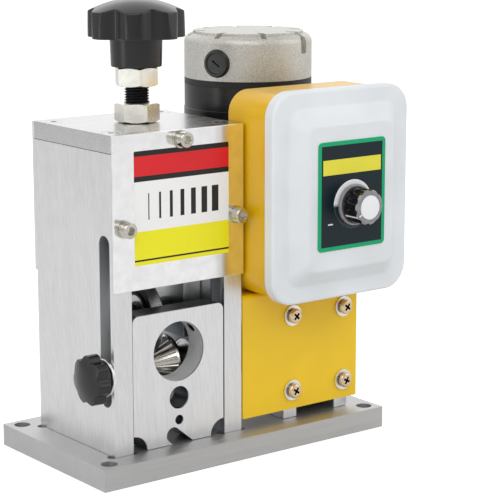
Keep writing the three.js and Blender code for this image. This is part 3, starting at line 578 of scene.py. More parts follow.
def machinedSteel(name, centre, axis, base, roughness=0.25):
    # fine rings left by turning, round the given axis through centre
    surface = Surface(name, roughness, 1.0)
    along = surface.axes(centre)["xyz".index(axis)]
    rings = surface.node("ShaderNodeCombineXYZ", None, {0: surface.radius(centre, axis) * 2.6, 1: along * 2.6})
    lines = surface.node("ShaderNodeTexNoise", None, {"Vector": rings, "Scale": 1.0, "Detail": 2.0})
    haze = surface.noise(90, 3)
    surface.feed("Base Color", surface.vary(lines * 0.6 + haze * 0.4, shade(base, 0.86), shade(base, 1.08)))
    surface.feed("Roughness", lines * 0.16 + haze * 0.12 + (roughness - 0.14))
    surface.bump(lines, 0.00002, 0.4)
    return surface.material


def paint(name, base, roughness, peel, coat):
    surface = Surface(name, roughness, Coat_Weight=coat, Coat_Roughness=0.12)
    cloud = surface.noise(18, 2)
    orange = surface.noise(700, 2)
    surface.feed("Base Color", surface.mixColour(cloud.ramp(0.35, 0.65), shade(base, 0.95), shade(base, 1.04)))
    surface.feed("Roughness", cloud * 0.14 + orange * 0.08 + (roughness - 0.1))
    surface.bump(orange, peel, 0.5)
    return surface.material


def plastic(name, base, roughness, grain=1400, depth=0.00003, coat=0.0):
    surface = Surface(name, roughness, Coat_Weight=coat, Coat_Roughness=0.14)
    pebble = surface.noise(grain, 3)
    surface.feed("Base Color", surface.vary(surface.noise(25, 2), shade(base, 0.95), shade(base, 1.05)))
    surface.feed("Roughness", pebble * 0.08 + (roughness - 0.04))
    surface.bump(pebble, depth, 0.7)
    return surface.material


def casting(name, base, paintTop=None, paintColour=None):
    # sprayed casting: light body with dark and bright flecks, painted below paintTop if that is given
    metallic = 0.8
    surface = Surface(name, 0.5, metallic)
    speck = surface.noise(1900, 4, roughness=0.75)
    cloud = surface.noise(120, 3)
    body = surface.mixColour(speck.ramp(0.36, 0.62), shade(base, 0.5), shade(base, 1.12))
    colour = surface.mixColour(cloud.ramp(0.3, 0.75) * 0.3, body, base)
    if paintTop is not None:
        painted = surface.axes()[2] < paintTop
        colour = surface.mixColour(painted, colour, paintColour)
        surface.feed("Metallic", (1 - painted) * metallic)
    surface.feed("Base Color", colour)
    surface.feed("Roughness", speck * 0.3 + 0.34)
    surface.bump(speck, 0.00008, 0.8)
    return surface.material


def plated(name, base, roughness, dark=None):
    # dark gives the share of a spot that lies in shadow
    surface = Surface(name, roughness, 1.0)
    haze = surface.noise(160, 3)
    colour = surface.vary(haze, shade(base, 0.9), shade(base, 1.06))
    surface.feed("Base Color", surface.mixColour(dark(surface), colour, tone(24, 20, 18)) if dark else colour)
    surface.feed("Roughness", haze * 0.16 + (roughness - 0.06))
    return surface.material


brushedAlongX = brushedAluminium("brushedAlongX", "x", tone(206, 206, 206), 0.27)
brushedAlongZ = brushedAluminium("brushedAlongZ", "z", tilt=0.12)
baseFinish = brushedAluminium("baseFinish", "x", tone(196, 196, 196), 0.52)
polishedCover = plated("polishedCover", tone(252, 252, 252), 0.14)
nickel = plated("nickel", tone(254, 250, 240), 0.26)
screwNickel = plated("screwNickel", tone(206, 202, 192), 0.16)
brightZinc = plated("brightZinc", tone(240, 240, 237), 0.3)
darkSteel = plated("darkSteel", tone(120, 120, 122), 0.3)
blackOxide = plated("blackOxide", tone(52, 52, 55), 0.36)
standYellow = paint("standYellow", tone(246, 203, 4), 0.34, 0.00002, 0.15)
boxYellow = paint("boxYellow", tone(236, 184, 2), 0.34, 0.00002, 0.15)
blackPaint = paint("blackPaint", tone(8, 8, 10), 0.3, 0.00001, 0.1)
starPlastic = plastic("starPlastic", tone(9, 9, 12), 0.26, 900, 0.000002, 0.16)
greyPlastic = plastic("greyPlastic", tone(231, 235, 238), 0.42, 900, 0.00001)
castGear = casting("castGear", tone(196, 197, 196))
print("finishes ready")


# Stage, light and camera

view = {"place": (-601.4, -831.77, 321.2), "aim": (33.01, -9.45, 109.44), "focalPixels": 1804.4, "pixels": 500,
        "sensor": 36}
studio = {"ambient": 0.72, "front": 0.42, "sides": 0.4, "above": 0.2, "behind": 0.6, "floorGlow": 0.6,
          "floorMirror": 0.12, "floorSize": 8, "floorDrop": 0.0002}
# each lamp's place, the height over the middle that it is aimed at, its size and its power
lamps = {
    "keyLamp": ((-0.9, -1.0, 1.3), 0.1, (1.3, 1.1), 7), "sideLamp": ((-1.3, 0.1, 0.5), 0.15, (0.4, 1.1), 2),
    "fillLamp": ((1.1, -0.9, 0.8), 0.15, (0.9, 1.2), 3), "backLamp": ((0.8, 1.2, 0.55), 0.1, (2.2, 0.9), 3.2),
}


def makeStage():
    deselect()
    bpy.ops.mesh.primitive_plane_add(size=studio["floorSize"], location=(0, 0, -studio["floorDrop"]))
    floor = named("floor")
    surface = Surface("floorSurface", 0.9, Emission_Color=(1, 1, 1, 1))
    surface.feed("Base Color", surface.mixColour(surface.noise(3, 2), tone(222, 222, 222), tone(226, 226, 226)))
    seen = surface.node("ShaderNodeLightPath", output="Is Camera Ray")
    glow, mirror = seen * studio["floorGlow"], seen.out("Is Glossy Ray") * studio["floorMirror"]
    surface.feed("Emission Strength", glow + mirror)
    floor.data.materials.append(surface.material)


def placeHolder(name, data, spot, aim):
    # a lamp or camera at spot, looking at aim
    holder = bpy.data.objects.new(name, data)
    holder.location = spot
    holder.rotation_euler = (Vector(aim) - Vector(spot)).to_track_quat("-Z", "Y").to_euler()
    scene.collection.objects.link(holder)
    return holder


def makeLight():
    world = scene.world = bpy.data.worlds.new("studio")
    world.use_nodes = True
    graph = Graph(world.node_tree)
    background = graph.tree.nodes["Background"]
    camera = graph.node("ShaderNodeLightPath", output="Is Camera Ray")
    # what gloss mirrors is bright at both sides, above and behind, and darker in front
    across, away, up = graph.split(graph.node("ShaderNodeTexCoord", output="Generated"))
    gloss = (abs(across).ramp(0.35, 0.9) * studio["sides"] + up.ramp(0.1, 0.9) * studio["above"]
             + away.ramp(0.2, 0.8) * up.ramp(0.15, 0.45) * studio["behind"] + studio["front"])
    seen = (camera + camera.out("Is Transmission Ray")).clamp()
    ambient = studio["ambient"]
    graph.put(background.inputs["Color"], (1, 1, 1, 1))
    graph.put(background.inputs["Strength"],
              seen * (1 - ambient) + camera.out("Is Glossy Ray") * (gloss - ambient) + ambient)
    for name, (spot, aimHeight, size, power) in lamps.items():
        lamp = bpy.data.lights.new(name, "AREA")
        lamp.shape = "RECTANGLE"
        lamp.size, lamp.size_y = size
        lamp.energy = power
        placeHolder(name, lamp, spot, (0, 0, aimHeight)).visible_camera = False


def makeCamera():
    camera = bpy.data.cameras.new("camera")
    camera.sensor_width = view["sensor"]
    camera.lens = view["sensor"] * view["focalPixels"] / view["pixels"]
    camera.clip_start, camera.clip_end = 0.01, 20
    scene.camera = placeHolder("camera", camera, Vector(view["place"]) * mm, Vector(view["aim"]) * mm)


makeStage()
makeLight()
makeCamera()
scene.view_settings.view_transform = "Standard"
print("stage, light and camera ready")


# Base plate with its hold-down holes, plate pockets and screws beneath

basePlate = {"holeInset": 8, "hole": 4.65, "pocketDepth": 3, "gap": 0.3, "relief": 3, "reliefInset": 2.7,
             "reliefDepth": 3.02, "reliefTop": 1.2, "screwHead": 5, "screwDepth": 5.5, "screwRise": 0.6,
             "edge": 0.5}


def underScrewSpots():
    depth = highOf("left_side_plate").y
    standing = ("left_side_plate", "right_side_plate", "upright_left", "upright_right")
    return [(middleOf(node)[0], depth * share) for node in standing for share in (1 / 5, 4 / 5)]


def makeBasePlate():
    p = basePlate
    x, y, z = spans("base_plate")
    inset, relief = p["holeInset"], p["reliefInset"]
    tools = [makeRod("hole", "z", p["hole"], through(z), (across, deep))
             for across in (x[0] + inset, x[1] - inset) for deep in (y[0] + inset, y[1] - inset)]
    for side in ("left_side_plate", "right_side_plate"):
        pocketX, pocketY = [(low - p["gap"], high + p["gap"]) for low, high in spans(side)[:2]]
        tools.append(makeBlock("pocket", pocketX, pocketY, (-p["pocketDepth"], past)))
        tools += [makeRod("relief", "z", p["relief"], (-p["reliefDepth"], p["reliefTop"]), (edge, end), 32)
                  for edge in pocketX for end in (pocketY[0] + relief, pocketY[1] - relief)]
    tools += [makeRod("counterbore", "z", p["screwHead"], (z[0] - past, z[0] + p["screwDepth"]), spot, 32)
              for spot in underScrewSpots()]
    piece = cut(makeBlock("basePlate", x, y, z), *tools)
    finishPiece(softEdges(piece, p["edge"]), baseFinish, "base_plate")


makeBasePlate()
print("base plate made")


# Side plates, top plate and covers of the head

sidePlate = {"slot": 5, "groove": 4, "grooveDepth": 6, "slotFront": 8, "slotFoot": 27.1, "slotTop": 122.5,
             "bearing": 12.1, "bearingDepth": 6.1, "axis": (39, 36), "collar": 8.5, "edge": 0.4}
topPlate = {"hole": 7.3, "sinkTop": 5.35, "sinkFoot": 2.8, "sinkDepth": 2.9, "sinkPast": 0.5, "edge": 0.4}
coverSheet = {"edge": 0.35}


def makeSidePlate(side):
    p = sidePlate
    node = side + "_side_plate"
    x, y, z = spans(node)
    inner, inward = (x[1], 1) if side == "left" else (x[0], -1)
    seat = sorted((inner - inward * p["bearingDepth"], inner + inward * past))
    tools = [makeRod("bearingSeat", "x", p["bearing"], seat, p["axis"], 96)]
    if side == "left":
        radius, span = p["slot"], through(x)
    else:
        radius, span = p["groove"], (x[0] - past, x[0] + p["grooveDepth"])
        tools.append(makeRod("collarHole", "x", p["collar"], (x[0], x[1] + past), p["axis"], 72))
    foot, top = p["slotFoot"] + radius, p["slotTop"] - radius
    tools.append(makeSlotTool("slot", "x", radius, span, (p["slotFront"], foot), (0, 0, top - foot)))
    piece = cut(makeBlock(side + "SidePlate", x, y, z), *tools)
    finishPiece(softEdges(piece, p["edge"]), brushedAlongZ, node)


def makeTopPlate():
    p = topPlate
    x, y, z = spans("top_plate")
    wide = p["sinkTop"] + (p["sinkTop"] - p["sinkFoot"]) / p["sinkDepth"] * p["sinkPast"]
    tools = [makeRod("studHole", "z", p["hole"], through(z), middleOf("adjusting_locknut")[:2])]
    tools += [makeRod("countersink", "z", p["sinkFoot"], (z[1] - p["sinkDepth"], z[1] + p["sinkPast"]),
                      middleOf(f"top_plate_screw_{number}")[:2], 48, wide) for number in (1, 2, 3, 4)]
    piece = cut(makeBlock("topPlate", x, y, z), *tools)
    finishPiece(softEdges(piece, p["edge"]), brushedAlongX, "top_plate")


def makeHeadCover(side, surface):
    piece = makeBlock(side + "Cover", *spans(side + "_cover"))
    finishPiece(softEdges(piece, coverSheet["edge"], 3), surface, side + "_cover")


makeSidePlate("left")
makeSidePlate("right")
makeTopPlate()
makeHeadCover("front", polishedCover)
makeHeadCover("rear", brushedAlongZ)
print("head plates made")


# Screws, each modelled once along z and copied

capScrew = {"washer": 5, "washerTop": 1, "ring": 4.4, "ringTop": 2.2, "head": 4.25, "top": 7.2, "chamfer": 0.45,
            "socket": 4.4, "socketDepth": 2.6, "mouth": (1.76, 2.64), "mouthSpan": (6.7, 7.3), "split": 0.7,
            "edge": 0.12}
buttonScrew = {"head": 4.75, "rim": 0.5, "top": 2.75, "crown": 2.4, "socket": 3.2, "socketDepth": 1.5,
               "edge": 0.12}
flatScrew = {"profile": [(0, -2.8), (2.5, -2.8), (5, -0.3), (5, -0.05), (0, -0.05)], "socket": 3.4,
             "socketDepth": 1.7, "edge": 0.1}
panScrew = {"ring": 4.1, "ringTop": 1.1, "head": 4.4, "rim": 0.2, "wallTop": 1.73, "top": 3.2, "crown": 2.9,
            "middleRise": 0.15,
            "arm": 2.6, "armWidth": 0.7, "armDepth": 1.6, "armTaper": (0.8, 0.85, 1), "shadeOver": 0.15,
            "shadeFrom": 0.25, "split": 0.8, "edge": 0.1}
standWasher = {"radius": 6.2, "thick": 1.2, "edge": 0.25}


def splitRing(name, radius, foot, top, gap):
    slit = makeBlock("slit", (radius * 0.5, radius + past), around(0, gap / 2), through((foot, top)))
    return cut(makeTurned(name, "z", barrel(radius, foot, top), steps=48), slit)


def cutSocket(head, p, top):
    return cut(head, makeHexagon("socket", "z", p["socket"], (top - p["socketDepth"], top + past)))


def makeCapScrew():
    p = capScrew
    top, chamfer = p["top"], p["chamfer"]
    washer = makeTurned("washer", "z", barrel(p["washer"], 0, p["washerTop"]), steps=48)
    ring = splitRing("springRing", p["ring"], p["washerTop"], p["ringTop"], p["split"])
    head = makeTurned("head", "z", barrel(p["head"], p["ringTop"], top, chamfer / 2, chamfer), steps=48)
    cutSocket(head, p, top)
    mouth, mouthEnd = p["mouth"]
    cut(head, makeRod("socketMouth", "z", mouth, p["mouthSpan"], sides=48, radiusEnd=mouthEnd))
    return join([softEdges(part, p["edge"]) for part in (head, washer, ring)], "capScrew")


def makeButtonScrew():
    p = buttonScrew
    dome = quarterArc(p["crown"], p["head"], p["rim"], p["top"], 7)
    head = makeTurned("buttonScrew", "z", [(0, 0), (p["head"], 0), *dome, (0, p["top"])], steps=48)
    return softEdges(cutSocket(head, p, p["top"]), p["edge"])


def makeFlatScrew():
    head = makeTurned("flatScrew", "z", flatScrew["profile"], steps=48)
    return softEdges(cutSocket(head, flatScrew, 0), flatScrew["edge"])


def makePanScrew():
    p = panScrew
    foot, head, rim = p["ringTop"], p["head"], p["rim"]
    ring = splitRing("springRing", p["ring"], 0, foot, p["split"])
    dome = quarterArc(p["crown"], head, p["wallTop"], p["top"], 7)[:-1]
    profile = [(0, foot), (head - rim, foot), (head, foot + rim), *dome, (0, p["top"] + p["middleRise"])]
    piece = makeTurned("head", "z", profile, steps=48)
    arms = []
    for degrees in (0, 90):
        bottom = p["top"] - p["armDepth"]
        arm = makeBlock("arm", around(0, p["arm"]), around(0, p["armWidth"]), (bottom, p["top"] + past))
        level = at(0, 0, bottom + 0.1).z
        pick(arm, "VERT", lambda co: co.z < level)
        bpy.ops.transform.resize(value=p["armTaper"], center_override=at(0, 0, bottom))
        leave()
        arms.append(spinAround(arm, (0, 0), degrees))
    for arm in arms:
        cut(piece, arm)
    return softEdges(piece, p["edge"]), softEdges(ring, p["edge"])


def crossRecessShade(surface):
    # painted shade inside the cross recesses of the stand screws, which sit at the corners of a rectangle
    p = panScrew
    spots = [middleOf(f"stand_screw_{number}") for number in (1, 2, 3, 4)]
    x, y, z = surface.axes()
    folded = []
    for axis, place in ((0, x), (2, z)):
        low, high = min(spot[axis] for spot in spots), max(spot[axis] for spot in spots)
        folded.append(abs(place - (low + high) / 2) - (high - low) / 2)
    face = lowOf("stand_washer_1").y - p["top"]
    return (distance(*folded) < p["arm"] + p["shadeOver"]) * (y > face + p["shadeFrom"])


def placeScrews():
    cap, button, flat = makeCapScrew(), makeButtonScrew(), makeFlatScrew()
    panHead, panRing = makePanScrew()
    # the stand screws' zinc, with painted shade in their cross recesses
    yellowZinc = plated("yellowZinc", tone(228, 203, 170), 0.2, crossRecessShade)
    washer = makeTurned("washer", "z", barrel(standWasher["radius"], 0, standWasher["thick"]), steps=56)
    softEdges(washer, standWasher["edge"])
    front, back = lowOf("front_cover").y - snug, highOf("rear_cover").y + snug

    def place(master, name, node, axis, turn, surface=screwNickel, extra=False, **moved):
        # at the middle of its node, but for the coordinate that is given
        spot = [moved.get(letter, value) for letter, value in zip("xyz", middleOf(node))]
        finishPiece(placeCopy(master, name, spot, axis, turn), surface, node, extra=extra)

    for side, turn in (("top", 0.3), ("left", 0.7), ("right", 0.1)):
        place(cap, f"frontCoverScrew{side.title()}", f"front_cover_screw_{side}", "-y", turn, y=front)
        place(button, f"rearCoverScrew{side.title()}", f"rear_cover_screw_{side}", "y", turn, y=back)
    for number in (1, 2, 3, 4):
        place(flat, f"topPlateScrew{number}", f"top_plate_screw_{number}", "z", number, z=highOf("top_plate").z)
        washerNode, screwNode = f"stand_washer_{number}", f"stand_screw_{number}"
        seat = lowOf(washerNode).y
        place(washer, f"standWasher{number}", washerNode, "-y", 0, brightZinc, y=highOf(washerNode).y)
        place(panHead, f"standScrew{number}", screwNode, "-y", 0.7 + 0.1 * number, yellowZinc, y=seat)
        place(panRing, f"standSpringRing{number}", screwNode, "-y", 2.2 * number, darkSteel, True, y=seat)
    for side in ("left", "right"):
        face = highOf(side + "_side_plate").y + snug
        place(button, f"bearingLockScrew{side.title()}", f"bearing_lock_screw_{side}", "y", 0.4, y=face)
    # heads of the screws that hold the plates and uprights from below
    foot = lowOf("base_plate").z + capScrew["top"] + basePlate["screwRise"]
    for number, (x, y) in enumerate(underScrewSpots(), 1):
        place(cap, f"baseScrew{number}", "top_plate_screw_1", "-z", number, extra=True, x=x, y=y, z=foot)
    discard(cap, button, flat, panHead, panRing, washer)


placeScrews()
print("screws placed")


# Feed roller, bearings and coupling

# each side is half a profile, as radius and distance from the middle
roller = {"shaft": 6, "side": [(6.4, 1), (15.4, 15), (16.6, 17), (16.6, 18.5), (8.5, 18.5)], "flutes": 24,
          "fluteOuter": 1.25, "fluteInner": 0.35, "fluteFrom": 8.4, "journalGap": 0.3, "bearingGap": 0.3}
bearingRing = {"half": 3, "side": [(8.2, 3), (8.3, 2.5), (10.4, 2.5), (10.5, 3), (11.7, 3), (12, 2.7)]}
couplingSleeve = {"radius": 12, "hole": 2.3, "screw": 2.1, "slit": 1, "edge": 0.5, "screwDrop": 1.2,
                  "socket": 2.2, "socketDepth": 3, "screwEdge": 0.15}


def makeRoller():
    p = roller
    spot = (middleOf("guide_block")[0], *middleOf("roller_bearing_left")[1:])
    start, end = [value - spot[0] for value in spans("feed_roller")[0]]
    shaft, side = p["shaft"], p["side"]
    (root, rootHalf), (flank, flankHalf), *_, (collar, _) = side
    # the journals' shoulders meet the inner rings of the two bearings
    left = highOf("roller_bearing_left").x - spot[0] + p["journalGap"]
    right = lowOf("roller_bearing_right").x - spot[0] - p["journalGap"]
    profile = [(0, start), (shaft, start), (shaft, left), (collar, left), *mirrored(side), *side,
               (collar, right), (shaft, right), (shaft, end), (0, end)]
    piece = makeTurned("feedRoller", "x", profile, spot, 96)
    run, rise = flankHalf - rootHalf, flank - root
    share = (p["fluteFrom"] - root) / rise
    length = math.hypot(run, rise) * (1 - share) + 1
    master = makeRod("fluteMaster", "x", p["fluteInner"], (0, length), sides=12, radiusEnd=p["fluteOuter"])
    lay = (Matrix.Translation(Vector((rootHalf + run * share, 0, p["fluteFrom"])) * mm)
           @ Matrix.Rotation(-math.atan2(rise, run), 4, "Y"))
    flutes = []
    for flip in (0, math.pi):
        for step in range(p["flutes"]):
            turn = Matrix.Rotation(2 * math.pi * (step + 0.5) / p["flutes"], 4, "X")
            place = Matrix.Translation(at(*spot)) @ turn @ Matrix.Rotation(flip, 4, "Z") @ lay
            flutes.append(copyOf(master, "flute", place))
    discard(master)
    steel = machinedSteel("rollerSteel", spot, "x", tone(226, 222, 214), 0.22)
    finishPiece(smoothFaces(cut(piece, *flutes), 25), steel, "feed_roller", "feed")


def makeBearing(name, node, hole, body):
    spot = middleOf(node)
    piece = makeTurned(name, "x", ringProfile([(hole, bearingRing["half"]), *bearingRing["side"]]), spot)
    steel = machinedSteel(name + "Steel", spot, "x", tone(206, 206, 206), 0.24)
    finishPiece(smoothFaces(piece, 30), steel, node, body)


def makeCoupling():
    p = couplingSleeve
    x, y, z = spans("shaft_coupling")
    middleY, middleZ = middleOf("shaft_coupling")[1:]
    quarter = (x[1] - x[0]) / 4
    spots = [(x[0] + quarter, middleY), (x[1] - quarter, middleY)]
    tools = [makeRod("bore", "x", roller["shaft"] + snug, through(x), (middleY, middleZ)),
             *[makeRod("screwHole", "z", p["hole"], (middleZ, z[1] + past), spot, 32) for spot in spots],
             makeBlock("slit", through(x), (y[0] - past, middleY), around(middleZ, p["slit"] / 2))]
    piece = cut(makeRod("shaftCoupling", "x", p["radius"], x, (middleY, middleZ), 96), *tools)
    steel = machinedSteel("couplingSteel", middleOf("shaft_coupling"), "x", tone(206, 207, 210), 0.34)
    finishPiece(softEdges(piece, p["edge"]), steel, "shaft_coupling", "feed")
    for number, spot in enumerate(spots, 1):
        ends = (middleZ + roller["shaft"] + roller["journalGap"], z[1] - p["screwDrop"])
        grub = makeRod(f"grubScrew{number}", "z", p["screw"], ends, spot, 32)
        cut(grub, makeHexagon("socket", "z", p["socket"], (z[1] - p["socketDepth"], z[1] + past), spot))
        finishPiece(softEdges(grub, p["screwEdge"]), blackOxide, "adjusting_stud", "feed", extra=True)


def makeOutputShaft():
    x, y, _ = spans("output_shaft")
    middle = middleOf("output_shaft")
    shaft = makeRod("outputShaft", "x", (y[1] - y[0]) / 2, x, middle[1:])
    steel = machinedSteel("shaftSteel", middle, "x", tone(200, 200, 200))
    finishPiece(softEdges(shaft, couplingSleeve["edge"]), steel, "output_shaft", "feed")


makeRoller()
for side in ("left", "right"):
    hole = roller["shaft"] + roller["bearingGap"]
    makeBearing("rollerBearing" + side.title(), "roller_bearing_" + side, hole, "frame")
makeCoupling()
makeOutputShaft()
print("feed made")


# Blade carriage, wheel and adjusting screw

carriageShape = {"cheek": 12, "bridge": 94, "corner": 4, "boss": 8, "bossGap": 0.3, "collarHole": 11.3,
                 "collarFoot": 106.4, "keeperHalf": 17.3, "keeperFoot": 112, "edge": 0.5, "keeperEdge": 0.4}
bladeWheel = {"side": [(12.1, 3.7), (12.4, 4), (14, 4), (14.2, 3.4), (17.6, 3.4), (17.8, 4), (19.2, 4),
                       (24.2, 0.15)], "axle": 6, "shoulder": 8, "axleEdge": 0.5}
stud = {"crest": 6.96, "root": 5.95, "pitch": 1.5, "crestSpan": (0.55, 0.8), "rootFrom": 1.35, "collar": 11,
        "collarTop": 111.7, "collarEdge": 0.4, "steps": 40}
nut = {"flats": 22, "crown": 10.5, "slope": 0.5, "reach": 1, "corner": 0.4, "bore": 7.3, "turnLower": 52.8,
       "turnUpper": 34.8, "edge": 0.18}
starKnob = {"lobes": 7, "radius": 26.9, "draft": 0.6, "valley": 4.6, "narrow": 1.5, "hubHeight": 16,
            "lobeHeight": 14.6, "dome": 7.1, "hubFoot": 14.2, "hubTop": 14.7, "turn": 52.8, "bore": 7.15,
            "boreDepth": 27.7, "voxel": 0.36, "rounds": 3}


def carriageHollows(surface):
    # the fork is lit at its front, dark behind it below, and lit from the back above
    _, y, z = surface.axes()
    high = z.ramp(70, 84)
    return y.ramp(22.4, 23) * ((1 - high) * 0.95 + high * (1 - y.ramp(24, 40)) * 0.6)


def makeCarriage():
    p = carriageShape
    x, y, z = spans("blade_carriage")
    window = makeBlock("window", (x[0] + p["cheek"], x[1] - p["cheek"]), through(y), (z[0] - past, p["bridge"]))
    bevelEdges(window, p["corner"], 8, "y", (2, at(0, 0, p["bridge"]).z))
    piece = cut(makeBlock("bladeCarriage", x, y, z), window)
    middle, axle, half = middleOf("adjusting_locknut")[:2], middleOf("blade_wheel")[1:], p["keeperHalf"]
    bossStart = highOf("blade_bearing").x + p["bossGap"]
    add(piece, makeRod("boss", "x", p["boss"], (bossStart, x[1] - past), axle))
    seat = [around(value, half) for value in middle]
    cut(piece, makeBlock("keeperSeat", *seat, (p["keeperFoot"], z[1] + past)))
    cut(piece, makeRod("collarHole", "z", p["collarHole"], (p["collarFoot"], p["keeperFoot"] + past), middle),
        makeRod("axleHole", "x", bladeWheel["shoulder"] + snug, through((x[0], x[0] + p["cheek"])), axle))
    surface = brushedAluminium("carriageAluminium", "z", tone(226, 226, 224), shaded=carriageHollows)
    finishPiece(softEdges(piece, p["edge"]), surface, "blade_carriage", "blade_carriage")
    keeper = makeBlock("studKeeper", *spans("stud_keeper"))
    cut(keeper, makeRod("studHole", "z", nut["bore"], through((p["keeperFoot"], z[1])), middle))
    surface = brushedAluminium("keeperSteel", "x", tone(190, 190, 190))
    finishPiece(softEdges(keeper, p["keeperEdge"]), surface, "stud_keeper", "blade_carriage")


def bladeSteel(spot):
    # the edge bevel is ground bright, the rest is blackened
    surface = Surface("bladeSteel", 0.3, 1.0)
    ring = surface.radius(spot, "x")
    _, across, up = surface.axes(spot)
    ground = ring.ramp(*around(bladeWheel["side"][-2][0], 0.15))
    lines = surface.node("ShaderNodeCombineXYZ", None, {0: across.math("ARCTAN2", up) * 60, 1: ring * 0.7})
    scratch = surface.node("ShaderNodeTexNoise", {"noise_dimensions": "2D"},
                           {"Vector": lines, "Scale": 1.0, "Detail": 3.0})
    haze = surface.noise(140, 3)
    bright = surface.vary(scratch, tone(150, 150, 152), tone(236, 236, 234))
    black = surface.vary(haze, tone(26, 26, 28), tone(44, 44, 47))
    surface.feed("Base Color", surface.mixColour(ground, black, bright))
    surface.feed("Roughness", haze * 0.2 + 0.3 - ground * 0.1)
    surface.bump(scratch, 0.00002, 0.4)
    return surface.material


def makeBlade():
    p = bladeWheel
    spot = middleOf("blade_wheel")
    piece = makeTurned("bladeWheel", "x", ringProfile(p["side"]), spot, 120)
    finishPiece(smoothFaces(piece, 20), bladeSteel(spot), "blade_wheel", "blade")
    start, end = [value - spot[0] for value in spans("blade_axle")[0]]
    seat = lowOf("blade_bearing").x - snug - spot[0]
    shoulder, thin, edge = p["shoulder"], p["axle"], p["axleEdge"]
    profile = [(0, start), (shoulder - edge, start), (shoulder, start + edge), (shoulder, seat),
               (thin, seat), (thin, end - edge), (thin - edge, end), (0, end)]
    axle = makeTurned("bladeAxle", "x", profile, spot, 64)
    steel = machinedSteel("axleSteel", spot, "x", tone(198, 198, 198))
    finishPiece(smoothFaces(axle, 30), steel, "blade_axle", "blade_carriage")


def makeStud():
    # one turn of the thread's profile, wound up the stud and cut flat at both ends
    p = stud
    x, y, _ = middleOf("adjusting_stud")
    low, end = spans("adjusting_stud")[2]
    start, root = p["collarTop"] - 1, p["root"]
    crests = [(p["crest"], rise) for rise in p["crestSpan"]]
    thread = drawProfile("adjustingStud", [(root, 0), *crests, (root, p["rootFrom"]), (root, p["pitch"])])
    leave()
    addModifier(thread, "SCREW", angle=2 * math.pi, screw_offset=p["pitch"] * mm, steps=p["steps"],
                iterations=math.ceil((end - start) / p["pitch"]) + 2, render_steps=p["steps"],
                use_merge_vertices=True, merge_threshold=1e-6)
    applyAll(thread)
    thread.location = at(x, y, start - p["pitch"])
    settle(thread)
    for height, keepAbove in ((start, True), (end, False)):
        openAll(thread)
        bpy.ops.mesh.bisect(plane_co=at(x, y, height), plane_no=(0, 0, 1), use_fill=True,
                            clear_inner=keepAbove, clear_outer=not keepAbove)
        leave()
    openAll(thread)
    closeShell()
    edge = p["collarEdge"]
    collar = makeTurned("collar", "z", barrel(p["collar"], low, p["collarTop"], edge, edge), (x, y, 0), 64)
    piece = join([smoothFaces(thread, 25), smoothFaces(collar, 30)], "adjustingStud")
    finishPiece(piece, blackOxide, "adjusting_stud", "adjusting_screw")


def makeNut(name, node, degrees, body):
    p = nut
    z = spans(node)[2]
    spot, reach = middleOf(node)[:2], p["reach"]
    piece = makeHexagon(name, "z", p["flats"], z, spot, math.radians(degrees))
    # a double cone that reaches past both faces takes the corners off
    narrow, wide = p["crown"] - reach / p["slope"], p["flats"] / math.sqrt(3) + p["corner"]
    rise = (wide - p["crown"]) * p["slope"]
    profile = [(0, z[0] - reach), (narrow, z[0] - reach), (wide, z[0] + rise),
               (wide, z[1] - rise), (narrow, z[1] + reach), (0, z[1] + reach)]
    keepInside(piece, makeTurned("cone", "z", profile, (*spot, 0), 96))
    cut(piece, makeRod("bore", "z", p["bore"], through(z), spot))
    finishPiece(softEdges(piece, p["edge"], 2, 20, 30), nickel, node, body)


def makeStar(name, p):
    # a lobed bar cut to a low dome, on a hub, softened as a moulding
    lobes, radius, foot, domeSteps, outlineSteps = p["lobes"], p["radius"], p["hubHeight"], 12, p["lobes"] * 20
    top = foot + p["lobeHeight"]
    outline = []
    for step in range(outlineSteps):
        angle = 2 * math.pi * step / outlineSteps
        reach = radius + p["draft"] - p["valley"] * ((1 - math.cos(lobes * angle)) / 2) ** p["narrow"]
        outline.append((reach * math.cos(angle), reach * math.sin(angle)))
    piece = makeExtruded(name, "z", outline, (foot, top + p["dome"] + past))
    dome = [(radius * share, top + p["dome"] * (1 - share * share))
            for share in [1 - step / domeSteps for step in range(domeSteps)]]
    wide = radius + p["draft"] + 0.1
    profile = [(0, foot - past), (wide, foot - past), *dome, (0, top + p["dome"])]
    keepInside(piece, makeTurned("dome", "z", profile, steps=112))
    hub = [(0, 0), (p["hubFoot"], 0), (p["hubTop"], foot + past), (0, foot + past)]
    add(piece, makeTurned("hub", "z", hub, steps=96))
    cut(piece, makeRod("bore", "z", p["bore"], (-past, p["boreDepth"])))
    return moulded(piece, p["voxel"], p["rounds"])


def makeKnob():
    master = makeStar("knobMaster", starKnob)
    spot = (*middleOf("jam_nut")[:2], lowOf("adjusting_knob").z)
    knob = placeCopy(master, "adjustingKnob", spot, "z", math.pi + math.radians(starKnob["turn"]))
    discard(master)
    finishPiece(knob, starPlastic, "adjusting_knob", "adjusting_screw")


makeCarriage()
makeBlade()
makeBearing("bladeBearing", "blade_bearing", bladeWheel["axle"] + roller["bearingGap"], "blade")
makeStud()
makeNut("adjustingLocknut", "adjusting_locknut", nut["turnLower"], "adjusting_locknut")
makeNut("jamNut", "jam_nut", nut["turnUpper"], "adjusting_screw")
makeKnob()
print("blade carriage and adjusting screw made")


# Guide block with its pin, and its lock at the left

